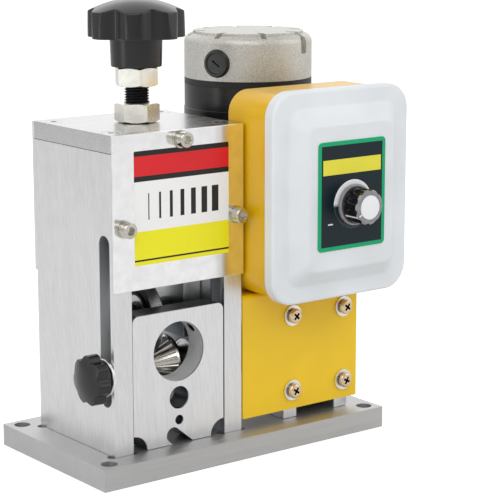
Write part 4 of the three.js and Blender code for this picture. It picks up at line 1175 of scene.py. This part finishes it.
guideBlock = {"corner": 4, "scallop": 9, "boreX": 43.4, "boreZ": 53.4, "bore": 17, "midZ": 26.8, "mid": 6.5,
              "smallZ": 13.9, "small": 2.75, "notchX": 39.3, "notchZ": 5.6, "notch": 4.5, "reach": 24, "tilt": 40,
              "crossZ": 64, "cross": 3, "axis": (8, 44.1), "studHole": 4.1, "studDepth": 12.1, "pinHole": 3.7,
              "pinDepth": 9.1, "faceSkin": 1.4, "boreSkin": 0.5, "edge": 0.4}
lockKnob = {"lobes": 7, "radius": 13.9, "draft": 0.2, "valley": 2.5, "narrow": 1.5, "hubHeight": 3.2,
            "lobeHeight": 6.8, "dome": 3.2, "hubFoot": 9.4, "hubTop": 9.6, "bore": 4.1, "boreDepth": 8.1,
            "voxel": 0.22, "rounds": 3}
lockWasher = {"hole": 4.2, "edge": 0.3}


def guideWalls(surface):
    # what lies behind the block's front face, and how far outside the bore
    p = guideBlock
    radius = surface.radius((p["boreX"], 0, p["boreZ"]), "y")
    return surface.axes()[1] > p["faceSkin"], radius - (p["bore"] + p["boreSkin"])


def boreWall(surface):
    behind, outside = guideWalls(surface)
    return behind * (outside < 0)


def guideHollows(surface):
    # the walls of the small holes and notches, which little light reaches
    behind, outside = guideWalls(surface)
    return behind * (outside > 0)


def makeGuideBlock():
    p = guideBlock
    x, y, z = spans("guide_block")
    piece = bevelEdges(makeBlock("guideBlock", x, y, z), p["corner"], 10, "y", (2, at(0, 0, z[1]).z))
    deep, tilt, boreX, axis = through(y), math.radians(p["tilt"]), p["boreX"], p["axis"]
    reach = (p["reach"] * math.cos(tilt), 0, -p["reach"] * math.sin(tilt))
    cut(piece, makeRod("bore", "y", p["bore"], deep, (boreX, p["boreZ"]), 128),
        makeRod("middleHole", "y", p["mid"], deep, (boreX, p["midZ"])),
        makeRod("smallHole", "y", p["small"], deep, (boreX, p["smallZ"]), 48),
        makeSlotTool("notch", "y", p["notch"], deep, (p["notchX"], p["notchZ"]), reach, 48),
        *[makeRod("scallop", "y", p["scallop"], deep, (edge, z[0])) for edge in x])
    cut(piece, makeRod("studHole", "x", p["studHole"], (x[0] - past, x[0] + p["studDepth"]), axis, 48),
        makeRod("pinHole", "x", p["pinHole"], (x[1] - p["pinDepth"], x[1] + past), axis, 48))
    cut(piece, makeRod("crossHole", "x", p["cross"], (boreX, x[1] + past), (axis[0], p["crossZ"]), 48))
    surface = brushedAluminium("guideAluminium", "z", tone(232, 232, 234), 0.34, 0.08, guideHollows, boreWall)
    finishPiece(softEdges(piece, p["edge"]), surface, "guide_block", "guide")
    makePin("guidePin", "guide_pin", brightZinc, "guide")


def makePin(name, node, surface, body):
    # a plain round pin or stud on the lock's axis, with chamfered ends
    x, _, z = spans(node)
    axis = guideBlock["axis"]
    pin = makeRod(name, "x", z[1] - axis[1], x, axis, 48)
    finishPiece(softEdges(pin, guideBlock["edge"]), surface, node, body)


def makeLock():
    x, _, z = spans("lock_washer")
    axis, hole, edge = guideBlock["axis"], lockWasher["hole"], lockWasher["edge"]
    half, outer = (x[1] - x[0]) / 2, z[1] - axis[1]
    side = [(outer, half - edge), (outer - edge, half), (hole, half)]
    washer = makeTurned("lockWasher", "x", ringProfile(side), middleOf("lock_washer"))
    finishPiece(smoothFaces(washer, 30), brightZinc, "lock_washer", "guide_lock")
    makePin("lockStud", "lock_stud", blackOxide, "guide_lock")
    master = makeStar("lockMaster", lockKnob)
    knob = placeCopy(master, "lockKnob", (highOf("lock_knob").x, *axis), "-x")
    discard(master)
    finishPiece(knob, starPlastic, "lock_knob", "guide_lock")


makeGuideBlock()
makeLock()
print("guide made")


# Drive stand: uprights, gearbox, motor and the sheet cover

upright = {"bossHole": 15.2, "edge": 0.5}
gearbox = {"wheel": 30, "wheelEdge": 1.5, "towerHalf": 17, "towerFoot": 4, "towerCorner": 4, "boss": 15,
           "flangeHalf": 38.5, "flangeCorner": 9, "flangeThick": 6, "screw": 33, "shaftHole": 6.2,
           "shaftDepth": 12, "coreInset": 3, "coreHalf": 6, "coreDrops": (30, 10), "sideGap": 0.15, "edge": 0.9}
yoke = {"edge": 1.2, "seam": 0.3, "seamDrop": 14}
motorCap = {"radius": 38.2, "height": 31, "shoulder": 5, "crown": 33, "step": 1.4, "vents": 8, "ventReach": 29.5,
            "vent": 1.8, "ventLength": 8, "ventDepth": 3, "notchWidth": 6, "notchDepth": 3, "notchHeight": 9.6,
            "notchDrop": 1.4, "notchAzimuth": 292, "brushHole": 8.25, "brushDrop": 17, "brushSeat": 6,
            "brushPast": 2, "brushAzimuth": 204, "edge": 0.6, "paint": 3.6, "paintColour": tone(22, 22, 25)}
brushCap = {"profile": [(0, 0), (8.1, 0), (8.1, 6.6), (7.3, 7.4), (6.2, 7.4), (5.9, 6.7), (0, 6.7)],
            "slot": ((-2.8, 2.8), (-0.6, 0.6), (5.6, 8.4)), "tilt": 55, "start": 32.3, "edge": 0.2}
standSheet = {"thick": 1.5, "bend": 2.2, "edge": 0.25}


def makeUprights():
    for side in ("left", "right"):
        x, y, z = spans("upright_" + side)
        piece = makeBlock("upright" + side.title(), x, y, z)
        if side == "left":
            axis = middleOf("shaft_coupling")[1:]
            cut(piece, makeRod("bossHole", "x", upright["bossHole"], through(x), axis, 96))
        finishPiece(softEdges(piece, upright["edge"]), brushedAlongZ, "upright_" + side)


def makeGearbox():
    p = gearbox
    start, top = spans("gearbox")[0][0], spans("gearbox")[2][1]
    between = (highOf("upright_left").x + p["sideGap"], lowOf("upright_right").x - p["sideGap"])
    axis = middleOf("shaft_coupling")[1:]
    x, y, _ = middleOf("motor_body")
    wide, deep, seat = p["flangeHalf"], p["towerHalf"], top - p["flangeThick"]
    wheel = softEdges(makeRod("wheelCase", "x", p["wheel"], between, axis, 96), p["wheelEdge"], 4)
    tower = bevelEdges(makeBlock("tower", between, around(y, deep), (p["towerFoot"], seat + past)),
                       p["towerCorner"], 6, "z")
    flange = bevelEdges(makeBlock("flange", around(x, wide), around(y, wide), (seat, top)),
                        p["flangeCorner"], 10, "z")
    boss = makeRod("boss", "x", p["boss"], (start, between[0] + past), axis, 72)
    piece = makeBlock("gearbox", (between[0] + p["coreInset"], between[1] - p["coreInset"]),
                      around(y, p["coreHalf"]), [top - drop for drop in p["coreDrops"]])
    for part in (wheel, tower, flange, boss):
        add(piece, part)
    cut(piece, makeRod("shaftHole", "x", p["shaftHole"], (start - past, between[0] + p["shaftDepth"]), axis, 48))
    finishPiece(softEdges(piece, p["edge"], 3, 40, 40), castGear, "gearbox")
    master = makeCapScrew()
    spots = [(x + across * p["screw"], y + away * p["screw"]) for across in (-1, 1) for away in (-1, 1)]
    for number, spot in enumerate(spots, 1):
        screw = placeCopy(master, f"flangeScrew{number}", (*spot, top - snug), "z", number * 0.7)
        finishPiece(screw, screwNickel, "top_plate_screw_1", extra=True)
    discard(master)


def makeMotor():
    x, y, _ = middleOf("motor_body")
    radius = x - lowOf("motor_body").x
    low, high = spans("motor_body")[2]
    edge, seam, drop = yoke["edge"], yoke["seam"], high - yoke["seamDrop"]
    profile = [(0, low), (radius - edge, low), (radius, low + edge), (radius, drop - seam),
               (radius - seam, drop), (radius - seam, high), (0, high)]
    body = makeTurned("motorBody", "z", profile, (x, y, 0), 120)
    finishPiece(smoothFaces(body, 40), blackPaint, "motor_body")


def makeMotorCap():
    p = motorCap
    x, y, _ = middleOf("motor_body")
    foot = lowOf("motor_end_cap").z
    radius, height, shoulder = p["radius"], p["height"], p["shoulder"]
    top, rim = foot + height, height - p["step"]
    arc = quarterArc(radius - shoulder, radius, rim - shoulder, rim, 8)
    profile = [(0, 0), (radius, 0), *arc, (p["crown"], rim), (p["crown"], height), (0, height)]
    cap = makeTurned("motorEndCap", "z", profile, (x, y, foot), 120)
    inner = p["ventReach"] - p["ventLength"] / 2 + p["vent"]
    vents = []
    for step in range(p["vents"]):
        angle = 2 * math.pi * (step + 0.5) / p["vents"]
        across, away = math.cos(angle), math.sin(angle)
        vents.append(makeSlotTool("vent", "z", p["vent"], (top - p["ventDepth"], top + past),
                                  (x + inner * across, y + inner * away),
                                  (p["ventLength"] * across, p["ventLength"] * away, 0), 32))
    cut(cap, *vents)
    notchTop = foot + rim - p["notchDrop"]
    notch = makeBlock("notch", (x + radius - p["notchDepth"], x + radius + past),
                      around(y, p["notchWidth"] / 2), (notchTop - p["notchHeight"], notchTop))
    tools = [spinAround(notch, (x, y), p["notchAzimuth"])]
    seatEnds = (x + radius - p["brushSeat"], x + radius + p["brushPast"])
    for turn in (0, 180):
        seat = makeRod("brushHole", "x", p["brushHole"], seatEnds, (y, top - p["brushDrop"]))
        tools.append(spinAround(seat, (x, y), p["brushAzimuth"] + turn))
    softEdges(cut(cap, *tools), p["edge"], 3, 35, 40)
    surface = casting("castCap", tone(222, 220, 213), foot + p["paint"], p["paintColour"])
    finishPiece(cap, surface, "motor_end_cap")


def makeBrushCaps():
    p = brushCap
    master = cut(makeTurned("brushMaster", "z", p["profile"], steps=64), makeBlock("slot", *p["slot"]))
    softEdges(master, p["edge"])
    x, y, _ = middleOf("motor_body")
    z = lowOf("motor_end_cap").z + motorCap["height"] - motorCap["brushDrop"]
    for side, turn in (("left", 0), ("right", 180)):
        cap = placeCopy(master, "brushCap" + side.title(), (x + p["start"], y, z), "x", math.radians(p["tilt"]))
        spinAround(cap, (x, y), motorCap["brushAzimuth"] + turn)
        finishPiece(cap, blackPaint, "brush_cap_" + side)
    discard(master)


def makeStandSheet():
    p = standSheet
    x, (front, back), (foot, top) = spans("stand_cover")
    inner, shelf, bend = front + p["thick"], top - p["thick"], p["bend"]
    tight = bend - p["thick"]
    bendOut = quarterArc(front + bend, front, top - bend, top, 6)
    bendIn = quarterArc(inner + tight, inner, shelf - tight, shelf, 3)
    outline = [(front, foot), *bendOut, (back, top), (back, shelf), *reversed(bendIn), (inner, foot)]
    sheet = makeExtruded("standCover", "x", outline, x)
    finishPiece(softEdges(sheet, p["edge"], 2, 40, 35), standYellow, "stand_cover")


makeUprights()
makeGearbox()
makeMotor()
makeMotorCap()
makeBrushCaps()
makeStandSheet()
print("drive stand made")


# Speed controller

controllerBox = {"corner": 13, "backEdge": 2, "wall": 2, "post": 4, "postTop": 7.4, "postX": 29, "postZ": 38,
                 "glandHole": 6.1, "edge": 0.35, "boardEdge": 0.2}
# each ring round the cover: its inset from the outline, its corner's size and its depth
controllerCover = {"arc": 12, "round": 1.8, "roundSteps": 6, "bushHole": 3.6, "bush": (-40, -34),
                   "inside": [(19.2, 6, -36), (9.8, 9, -27), (4, 10.5, -26.9), (4, 10.5, -21.7), (0, 14.5, -21.6)],
                   "rim": (14.5, -29),
                   "front": [(8.9, 9.3, -29.05), (9.8, 9, -29.25), (10.7, 8.7, -29.8), (17.1, 6.6, -36.1),
                             (18, 6.3, -37.1), (18.9, 6, -37.7), (20, 5.6, -38)]}
bezelRing = {"hole": 3.6, "slope": 0.7, "lip": 0.2, "lipDepth": 0.25, "potEdge": 0.15}
speedKnob = {"profile": [(0, 0), (11.4, 0), (11.7, 0.3), (11.7, 1.6), (11.1, 2), (10.1, 2.3), (9.9, 2.8),
                         (9.9, 12.7), (8.9, 13.7), (7, 13.7), (6.9, 13.3), (0, 13.3)], "hole": 3.1,
             "holeDepth": 9.1, "flutes": 10, "flute": 2.4, "fluteReach": 11.4, "fluteSpan": (2.6, 14.7),
             "inlay": [(0, 13.1), (6.8, 13.1), (6.8, 13.9), (6.5, 14.1), (0, 14.1)],
             "line": [((6.9, 9), (13.4, 13.85)), ((9.5, 10.05), (2.9, 12.8))], "lineHalf": 0.45, "lineEdge": 0.1,
             "turn": 211, "greyFront": 12.55, "skirtHighlightDepth": 2.1, "edge": 0.3}
# the nose goes by its radius and the distance to its end
cordGland = {"flange": 9, "flangeThick": 1.4, "barrel": 6, "hex": 16, "hexLength": 4, "noseLength": 6,
             "nose": [(6.6, 10), (6.6, 2.2), (6.072, 1.1), (4.752, 0)], "bore": 3.2, "edge": 0.3}


def makeControllerBox():
    p = controllerBox
    x, y, z = spans("controller_box")
    piece = bevelEdges(makeBlock("controllerBox", x, y, z), p["corner"], 16, "y")
    bevelEdges(piece, p["backEdge"], 4, level=(1, at(0, y[1], 0).y))
    pick(piece, "FACE", lambda normal: normal.y < -0.9)
    bpy.ops.mesh.inset(thickness=p["wall"] * mm, depth=0)
    bpy.ops.mesh.extrude_region_move(TRANSFORM_OT_translate={"value": (0, (y[1] - y[0] - p["wall"]) * mm, 0)})
    leave()
    cut(piece, makeRod("glandHole", "y", p["glandHole"], (y[1] - 2 * p["wall"], y[1] + past),
                       middleOf("cord_gland")[::2], 48))
    softEdges(piece, p["edge"], 2, 50, 35)
    middleX, _, middleZ = middleOf("controller_box")
    posts = [makeRod("post", "y", p["post"], (p["postTop"], y[1] - past),
                     (middleX + across * p["postX"], middleZ + up * p["postZ"]), 32)
             for across in (-1, 1) for up in (-1, 1)]
    finishPiece(join([piece, *posts], "controllerBox"), boxYellow, "controller_box")


def makeOutlineRing(number, inset, corner, y):
    x, _, z = spans("controller_cover")
    deselect()
    bpy.ops.mesh.primitive_plane_add(size=1, location=at(sum(x) / 2, y, sum(z) / 2), rotation=(math.pi / 2, 0, 0))
    ring = named("ring")
    ring.scale = ((x[1] - x[0] - 2 * inset) * mm, (z[1] - z[0] - 2 * inset) * mm, 1)
    openAll(settle(ring))
    bpy.ops.mesh.bevel(offset=corner * mm, segments=controllerCover["arc"], affect="VERTICES", clamp_overlap=True)
    bpy.ops.mesh.select_all(action="SELECT")
    bpy.ops.mesh.delete(type="ONLY_FACE")
    leave()
    ring.vertex_groups.new(name=f"ring{number}").add(range(len(ring.data.vertices)), 1.0, "ADD")
    return ring


def makeControllerCover():
    # rings from the hollow's floor over the rim to the raised front, bridged one by one
    p = controllerCover
    corner, face = p["rim"]
    rounded = [(inset, corner - inset * 0.6, depth)
               for inset, depth in quarterArc(p["round"], 0, face + p["round"], face, p["roundSteps"])]
    rings = [*p["inside"], *rounded, *p["front"]]
    last = len(rings) - 1
    piece = join([makeOutlineRing(number, *ring) for number, ring in enumerate(rings)], "controllerCover")
    openAll(piece)

    def choose(*numbers):
        bpy.ops.mesh.select_all(action="DESELECT")
        for number in numbers:
            piece.vertex_groups.active_index = piece.vertex_groups[f"ring{number}"].index
            bpy.ops.object.vertex_group_select()

    for number in range(last):
        choose(number, number + 1)
        bpy.ops.mesh.bridge_edge_loops()
    for number in (0, last):
        choose(number)
        bpy.ops.mesh.edge_face_add()
    closeShell()
    piece.vertex_groups.clear()
    cut(piece, makeRod("bushHole", "y", p["bushHole"], p["bush"], middleOf("speed_knob")[::2], 48))
    finishPiece(smoothFaces(piece, 50), greyPlastic, "controller_cover")


def bezelPaintedLight(middle):
    # painted highlight over the top half, and painted shade below in the panel's dark colour
    surface = Surface("bezelPaintedLight", 0.25)
    haze = surface.noise(160, 3)
    # share of the painted highlight, rising over the ring's middle
    upper = surface.axes(middle)[2].ramp(-0.5, 1.5)
    bright = surface.mixColour(haze, tone(226, 227, 230), tone(238, 239, 241))
    surface.feed("Base Color", surface.mixColour(upper, tone(16, 34, 40), bright))
    surface.feed("Roughness", haze * 0.12 + 0.2)
    return surface.material


def makeBezel():
    p = bezelRing
    x, y, _ = spans("dial_bezel")
    middle = middleOf("dial_bezel")
    outer, half, hole = (x[1] - x[0]) / 2, (y[1] - y[0]) / 2, p["hole"]
    profile = [(hole, -half), (outer - p["slope"], -half), (outer - p["lip"], p["lipDepth"] - half), (outer, 0),
               (outer, half), (hole, half), (hole, -half)]
    bezel = makeTurned("dialBezel", "y", profile, middle, 96)
    finishPiece(smoothFaces(bezel, 40), bezelPaintedLight(middle), "dial_bezel")
    pot = copyNode("speedPotentiometer", "speed_potentiometer")
    finishPiece(softEdges(pot, p["potEdge"]), brightZinc, "speed_potentiometer")


def knobFinish(back):
    # glossy black sides and a grey front face, with a painted highlight in the same grey round the skirt
    p = speedKnob
    surface = Surface("knobPlastic", 0.2, Coat_Weight=0.5, Coat_Roughness=0.08)
    deep = surface.axes()[1]
    haze = surface.noise(300, 2)
    black = surface.vary(haze, tone(14, 14, 16), tone(24, 24, 26))
    grey = surface.vary(haze, tone(126, 124, 128), tone(146, 144, 148))
    # grey on the front face, and as a painted highlight on the skirt
    faces = (deep < back - p["greyFront"]).either(deep > back - p["skirtHighlightDepth"])
    surface.feed("Base Color", surface.mixColour(faces, black, grey))
    surface.feed("Roughness", haze * 0.12 + faces * 0.12 + 0.14)
    return surface.material


def makeSpeedKnob():
    p = speedKnob
    knob = makeTurned("knobMaster", "z", p["profile"], steps=100)
    angles = [2 * math.pi * (step + 0.5) / p["flutes"] for step in range(p["flutes"])]
    spots = [(p["fluteReach"] * math.cos(angle), p["fluteReach"] * math.sin(angle)) for angle in angles]
    cut(knob, *[makeRod("flute", "z", p["flute"], p["fluteSpan"], spot, 32) for spot in spots])
    cut(knob, makeRod("shaftHole", "z", p["hole"], (-past, p["holeDepth"]), sides=48))
    softEdges(knob, p["edge"], 3, 35, 45)
    inlay = smoothFaces(makeTurned("inlayMaster", "z", p["inlay"]))
    bars = [makeBlock("lineMaster", out, around(0, p["lineHalf"]), up) for out, up in p["line"]]
    line = softEdges(join(bars, "lineMaster"), p["lineEdge"])
    middle = middleOf("dial_bezel")
    spot = (middle[0], highOf("speed_knob").y, middle[2])
    parts = (("speedKnob", knob, knobFinish(spot[1])),
             ("speedKnobInlay", inlay, plastic("inlayPlastic", tone(241, 242, 243), 0.35, 500, 0.000004)),
             ("speedKnobLine", line, plastic("linePlastic", tone(236, 236, 236), 0.4)))
    for name, master, surface in parts:
        piece = placeCopy(master, name, spot, "-y", math.radians(p["turn"]))
        finishPiece(piece, surface, "speed_knob", "speed_knob", master != knob)
    discard(knob, inlay, line)


def makeBoard():
    board = copyNode("controlBoard", "control_board")
    surface = Surface("boardLacquer", 0.35, Coat_Weight=0.3)
    tracks = surface.noise(260, 2)
    surface.feed("Base Color", surface.mixColour(tracks.ramp(0.48, 0.52), tone(24, 92, 62), tone(34, 118, 80)))
    surface.feed("Roughness", tracks * 0.2 + 0.25)
    surface.bump(tracks, 0.00005, 0.4)
    finishPiece(softEdges(board, controllerBox["boardEdge"]), surface.material, "control_board")


def makeGland():
    p = cordGland
    x, _, z = middleOf("cord_gland")
    inner, outer = lowOf("cord_gland").y, highOf("controller_box").y + snug
    seat, end = inner + p["flangeThick"], outer + p["hexLength"] + p["noseLength"]
    flange, neck = p["flange"], p["barrel"]
    nose = [(radius, end - rest) for radius, rest in p["nose"]]
    profile = [(0, inner), (flange, inner), (flange, seat), (neck, seat), (neck, outer), *nose, (0, end)]
    piece = makeTurned("cordGland", "y", profile, (x, 0, z))
    add(piece, makeHexagon("hexagon", "y", p["hex"], (outer, outer + p["hexLength"]), (x, z)))
    cut(piece, makeRod("bore", "y", p["bore"], through((inner, end)), (x, z), 48))
    finishPiece(softEdges(piece, p["edge"]), starPlastic, "cord_gland")


makeControllerBox()
makeControllerCover()
makeBezel()
makeSpeedKnob()
makeBoard()
makeGland()
print("speed controller made")


# Plain printed pieces: the panel round the speed knob and the sticker on the front cover

panel = {"x": (110.95, 160.05), "z": (106.75, 168.25), "thick": 0.35, "corner": 2.5, "cornerSteps": 6,
         "edge": 0.08, "border": 2.3, "band": (149.6, 158.1), "bandInset": 3.4, "markZ": 121.8, "markDrop": 15.6,
         "markHalf": 1.8, "markThick": 0.4}
sticker = {"x": (13.2, 76.3), "z": (105.8, 168.2), "thick": 0.14, "corner": 0.8, "cornerSteps": 3, "edge": 0.04,
           "red": (154.5, 165.4), "head": 151.6, "foot": 124.4, "bars": 7, "firstBar": 22.5, "barGap": 7.4,
           "thinBar": 0.35, "barGrowth": 0.32, "barZ": (130.5, 145), "line": 0.5, "lineInset": 2.2}


def makePrinted(name, p, face, surface, node):
    piece = makeBlock(name, p["x"], (face - p["thick"], face), p["z"])
    bevelEdges(piece, p["corner"], p["cornerSteps"], "y")
    finishPiece(softEdges(piece, p["edge"], 1, 50), surface.material, node, extra=True)


def layInks(surface, base, *layers):
    # later layers lie over earlier ones, each as its share and its ink
    for share, ink in layers:
        base = surface.mixColour(share, base, ink)
    surface.feed("Base Color", base)


def makePanel():
    p = panel
    face = highOf("dial_bezel").y
    middleX, middleZ = sum(p["x"]) / 2, sum(p["z"]) / 2
    halfX, halfZ = p["x"][1] - middleX, p["z"][1] - middleZ
    surface = Surface("panelPrint", 0.34, Specular_IOR_Level=0.3)
    across, _, up = surface.axes((middleX, face, middleZ))
    side = abs(across)
    grain = surface.noise(900, 2)
    green = surface.mixColour(grain, tone(4, 160, 106), tone(8, 178, 120))
    dark = surface.mixColour(grain, tone(4, 26, 33), tone(10, 33, 40))
    yellow = surface.mixColour(grain, tone(232, 222, 60), tone(240, 232, 76))
    inner = (side < halfX - p["border"]) * (abs(up) < halfZ - p["border"])
    band = (side < halfX - p["bandInset"]) * up.within(*[z - middleZ for z in p["band"]])
    # the minus and plus marks at the dial's ends
    fromMark, markRise = abs(side - p["markDrop"]), abs(up - (p["markZ"] - middleZ))
    bar = (fromMark < p["markHalf"]) * (markRise < p["markThick"])
    stem = (fromMark < p["markThick"]) * (markRise < p["markHalf"]) * (across > 0)
    layInks(surface, green, (inner, dark), (band, yellow), (bar.either(stem), tone(230, 234, 232)))
    surface.feed("Roughness", grain * 0.12 + 0.26)
    surface.bump(grain, 0.000004, 0.4)
    makePrinted("controlPanel", p, face, surface, "controller_cover")


def makeSticker():
    p = sticker
    surface = Surface("stickerPrint", 0.3)
    across, _, up = surface.axes()
    grain = surface.noise(700, 2)
    white = surface.mixColour(grain, tone(246, 246, 246), tone(251, 251, 251))
    black = surface.mixColour(grain, tone(4, 4, 5), tone(10, 9, 10))
    red = surface.mixColour(grain, tone(222, 8, 22), tone(230, 16, 30))
    yellow = surface.mixColour(grain, tone(244, 236, 4), tone(250, 243, 16))
    # bars of growing width, as a plain chart of wire sizes
    bars = abs(across - p["firstBar"]) < p["thinBar"]
    for number in range(1, p["bars"]):
        middle = p["firstBar"] + p["barGap"] * number
        bars = bars.either(abs(across - middle) < p["thinBar"] + p["barGrowth"] * number)
    footLine = abs(up - (p["z"][0] + p["lineInset"] + p["line"])) < p["line"]
    layInks(surface, white, (up > p["head"], black), (up.within(*p["red"]), red),
            (bars * up.within(*p["barZ"]), black), (up < p["foot"], yellow), (footLine, black))
    surface.feed("Roughness", grain * 0.1 + 0.3)
    makePrinted("coverSticker", p, lowOf("front_cover").y, surface, "front_cover")


makePanel()
makeSticker()
print("printed pieces made")


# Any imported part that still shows

looks = {
    "nickel": nickel, "bright_steel": brightZinc, "blackened_steel": blackOxide,
    "black_plastic": starPlastic, "yellow_paint": standYellow, "grey_plastic": greyPlastic,
    "cast_alloy": castGear, "black_paint": blackPaint, "circuit_board": starPlastic,
    "polished_cover": polishedCover, "aluminium_plate": brushedAlongX,
}
for node, piece in frame["nodes"].items():
    piece.data.materials.clear()
    piece.data.materials.append(looks[slotOf[node]])
print("remaining parts dressed")
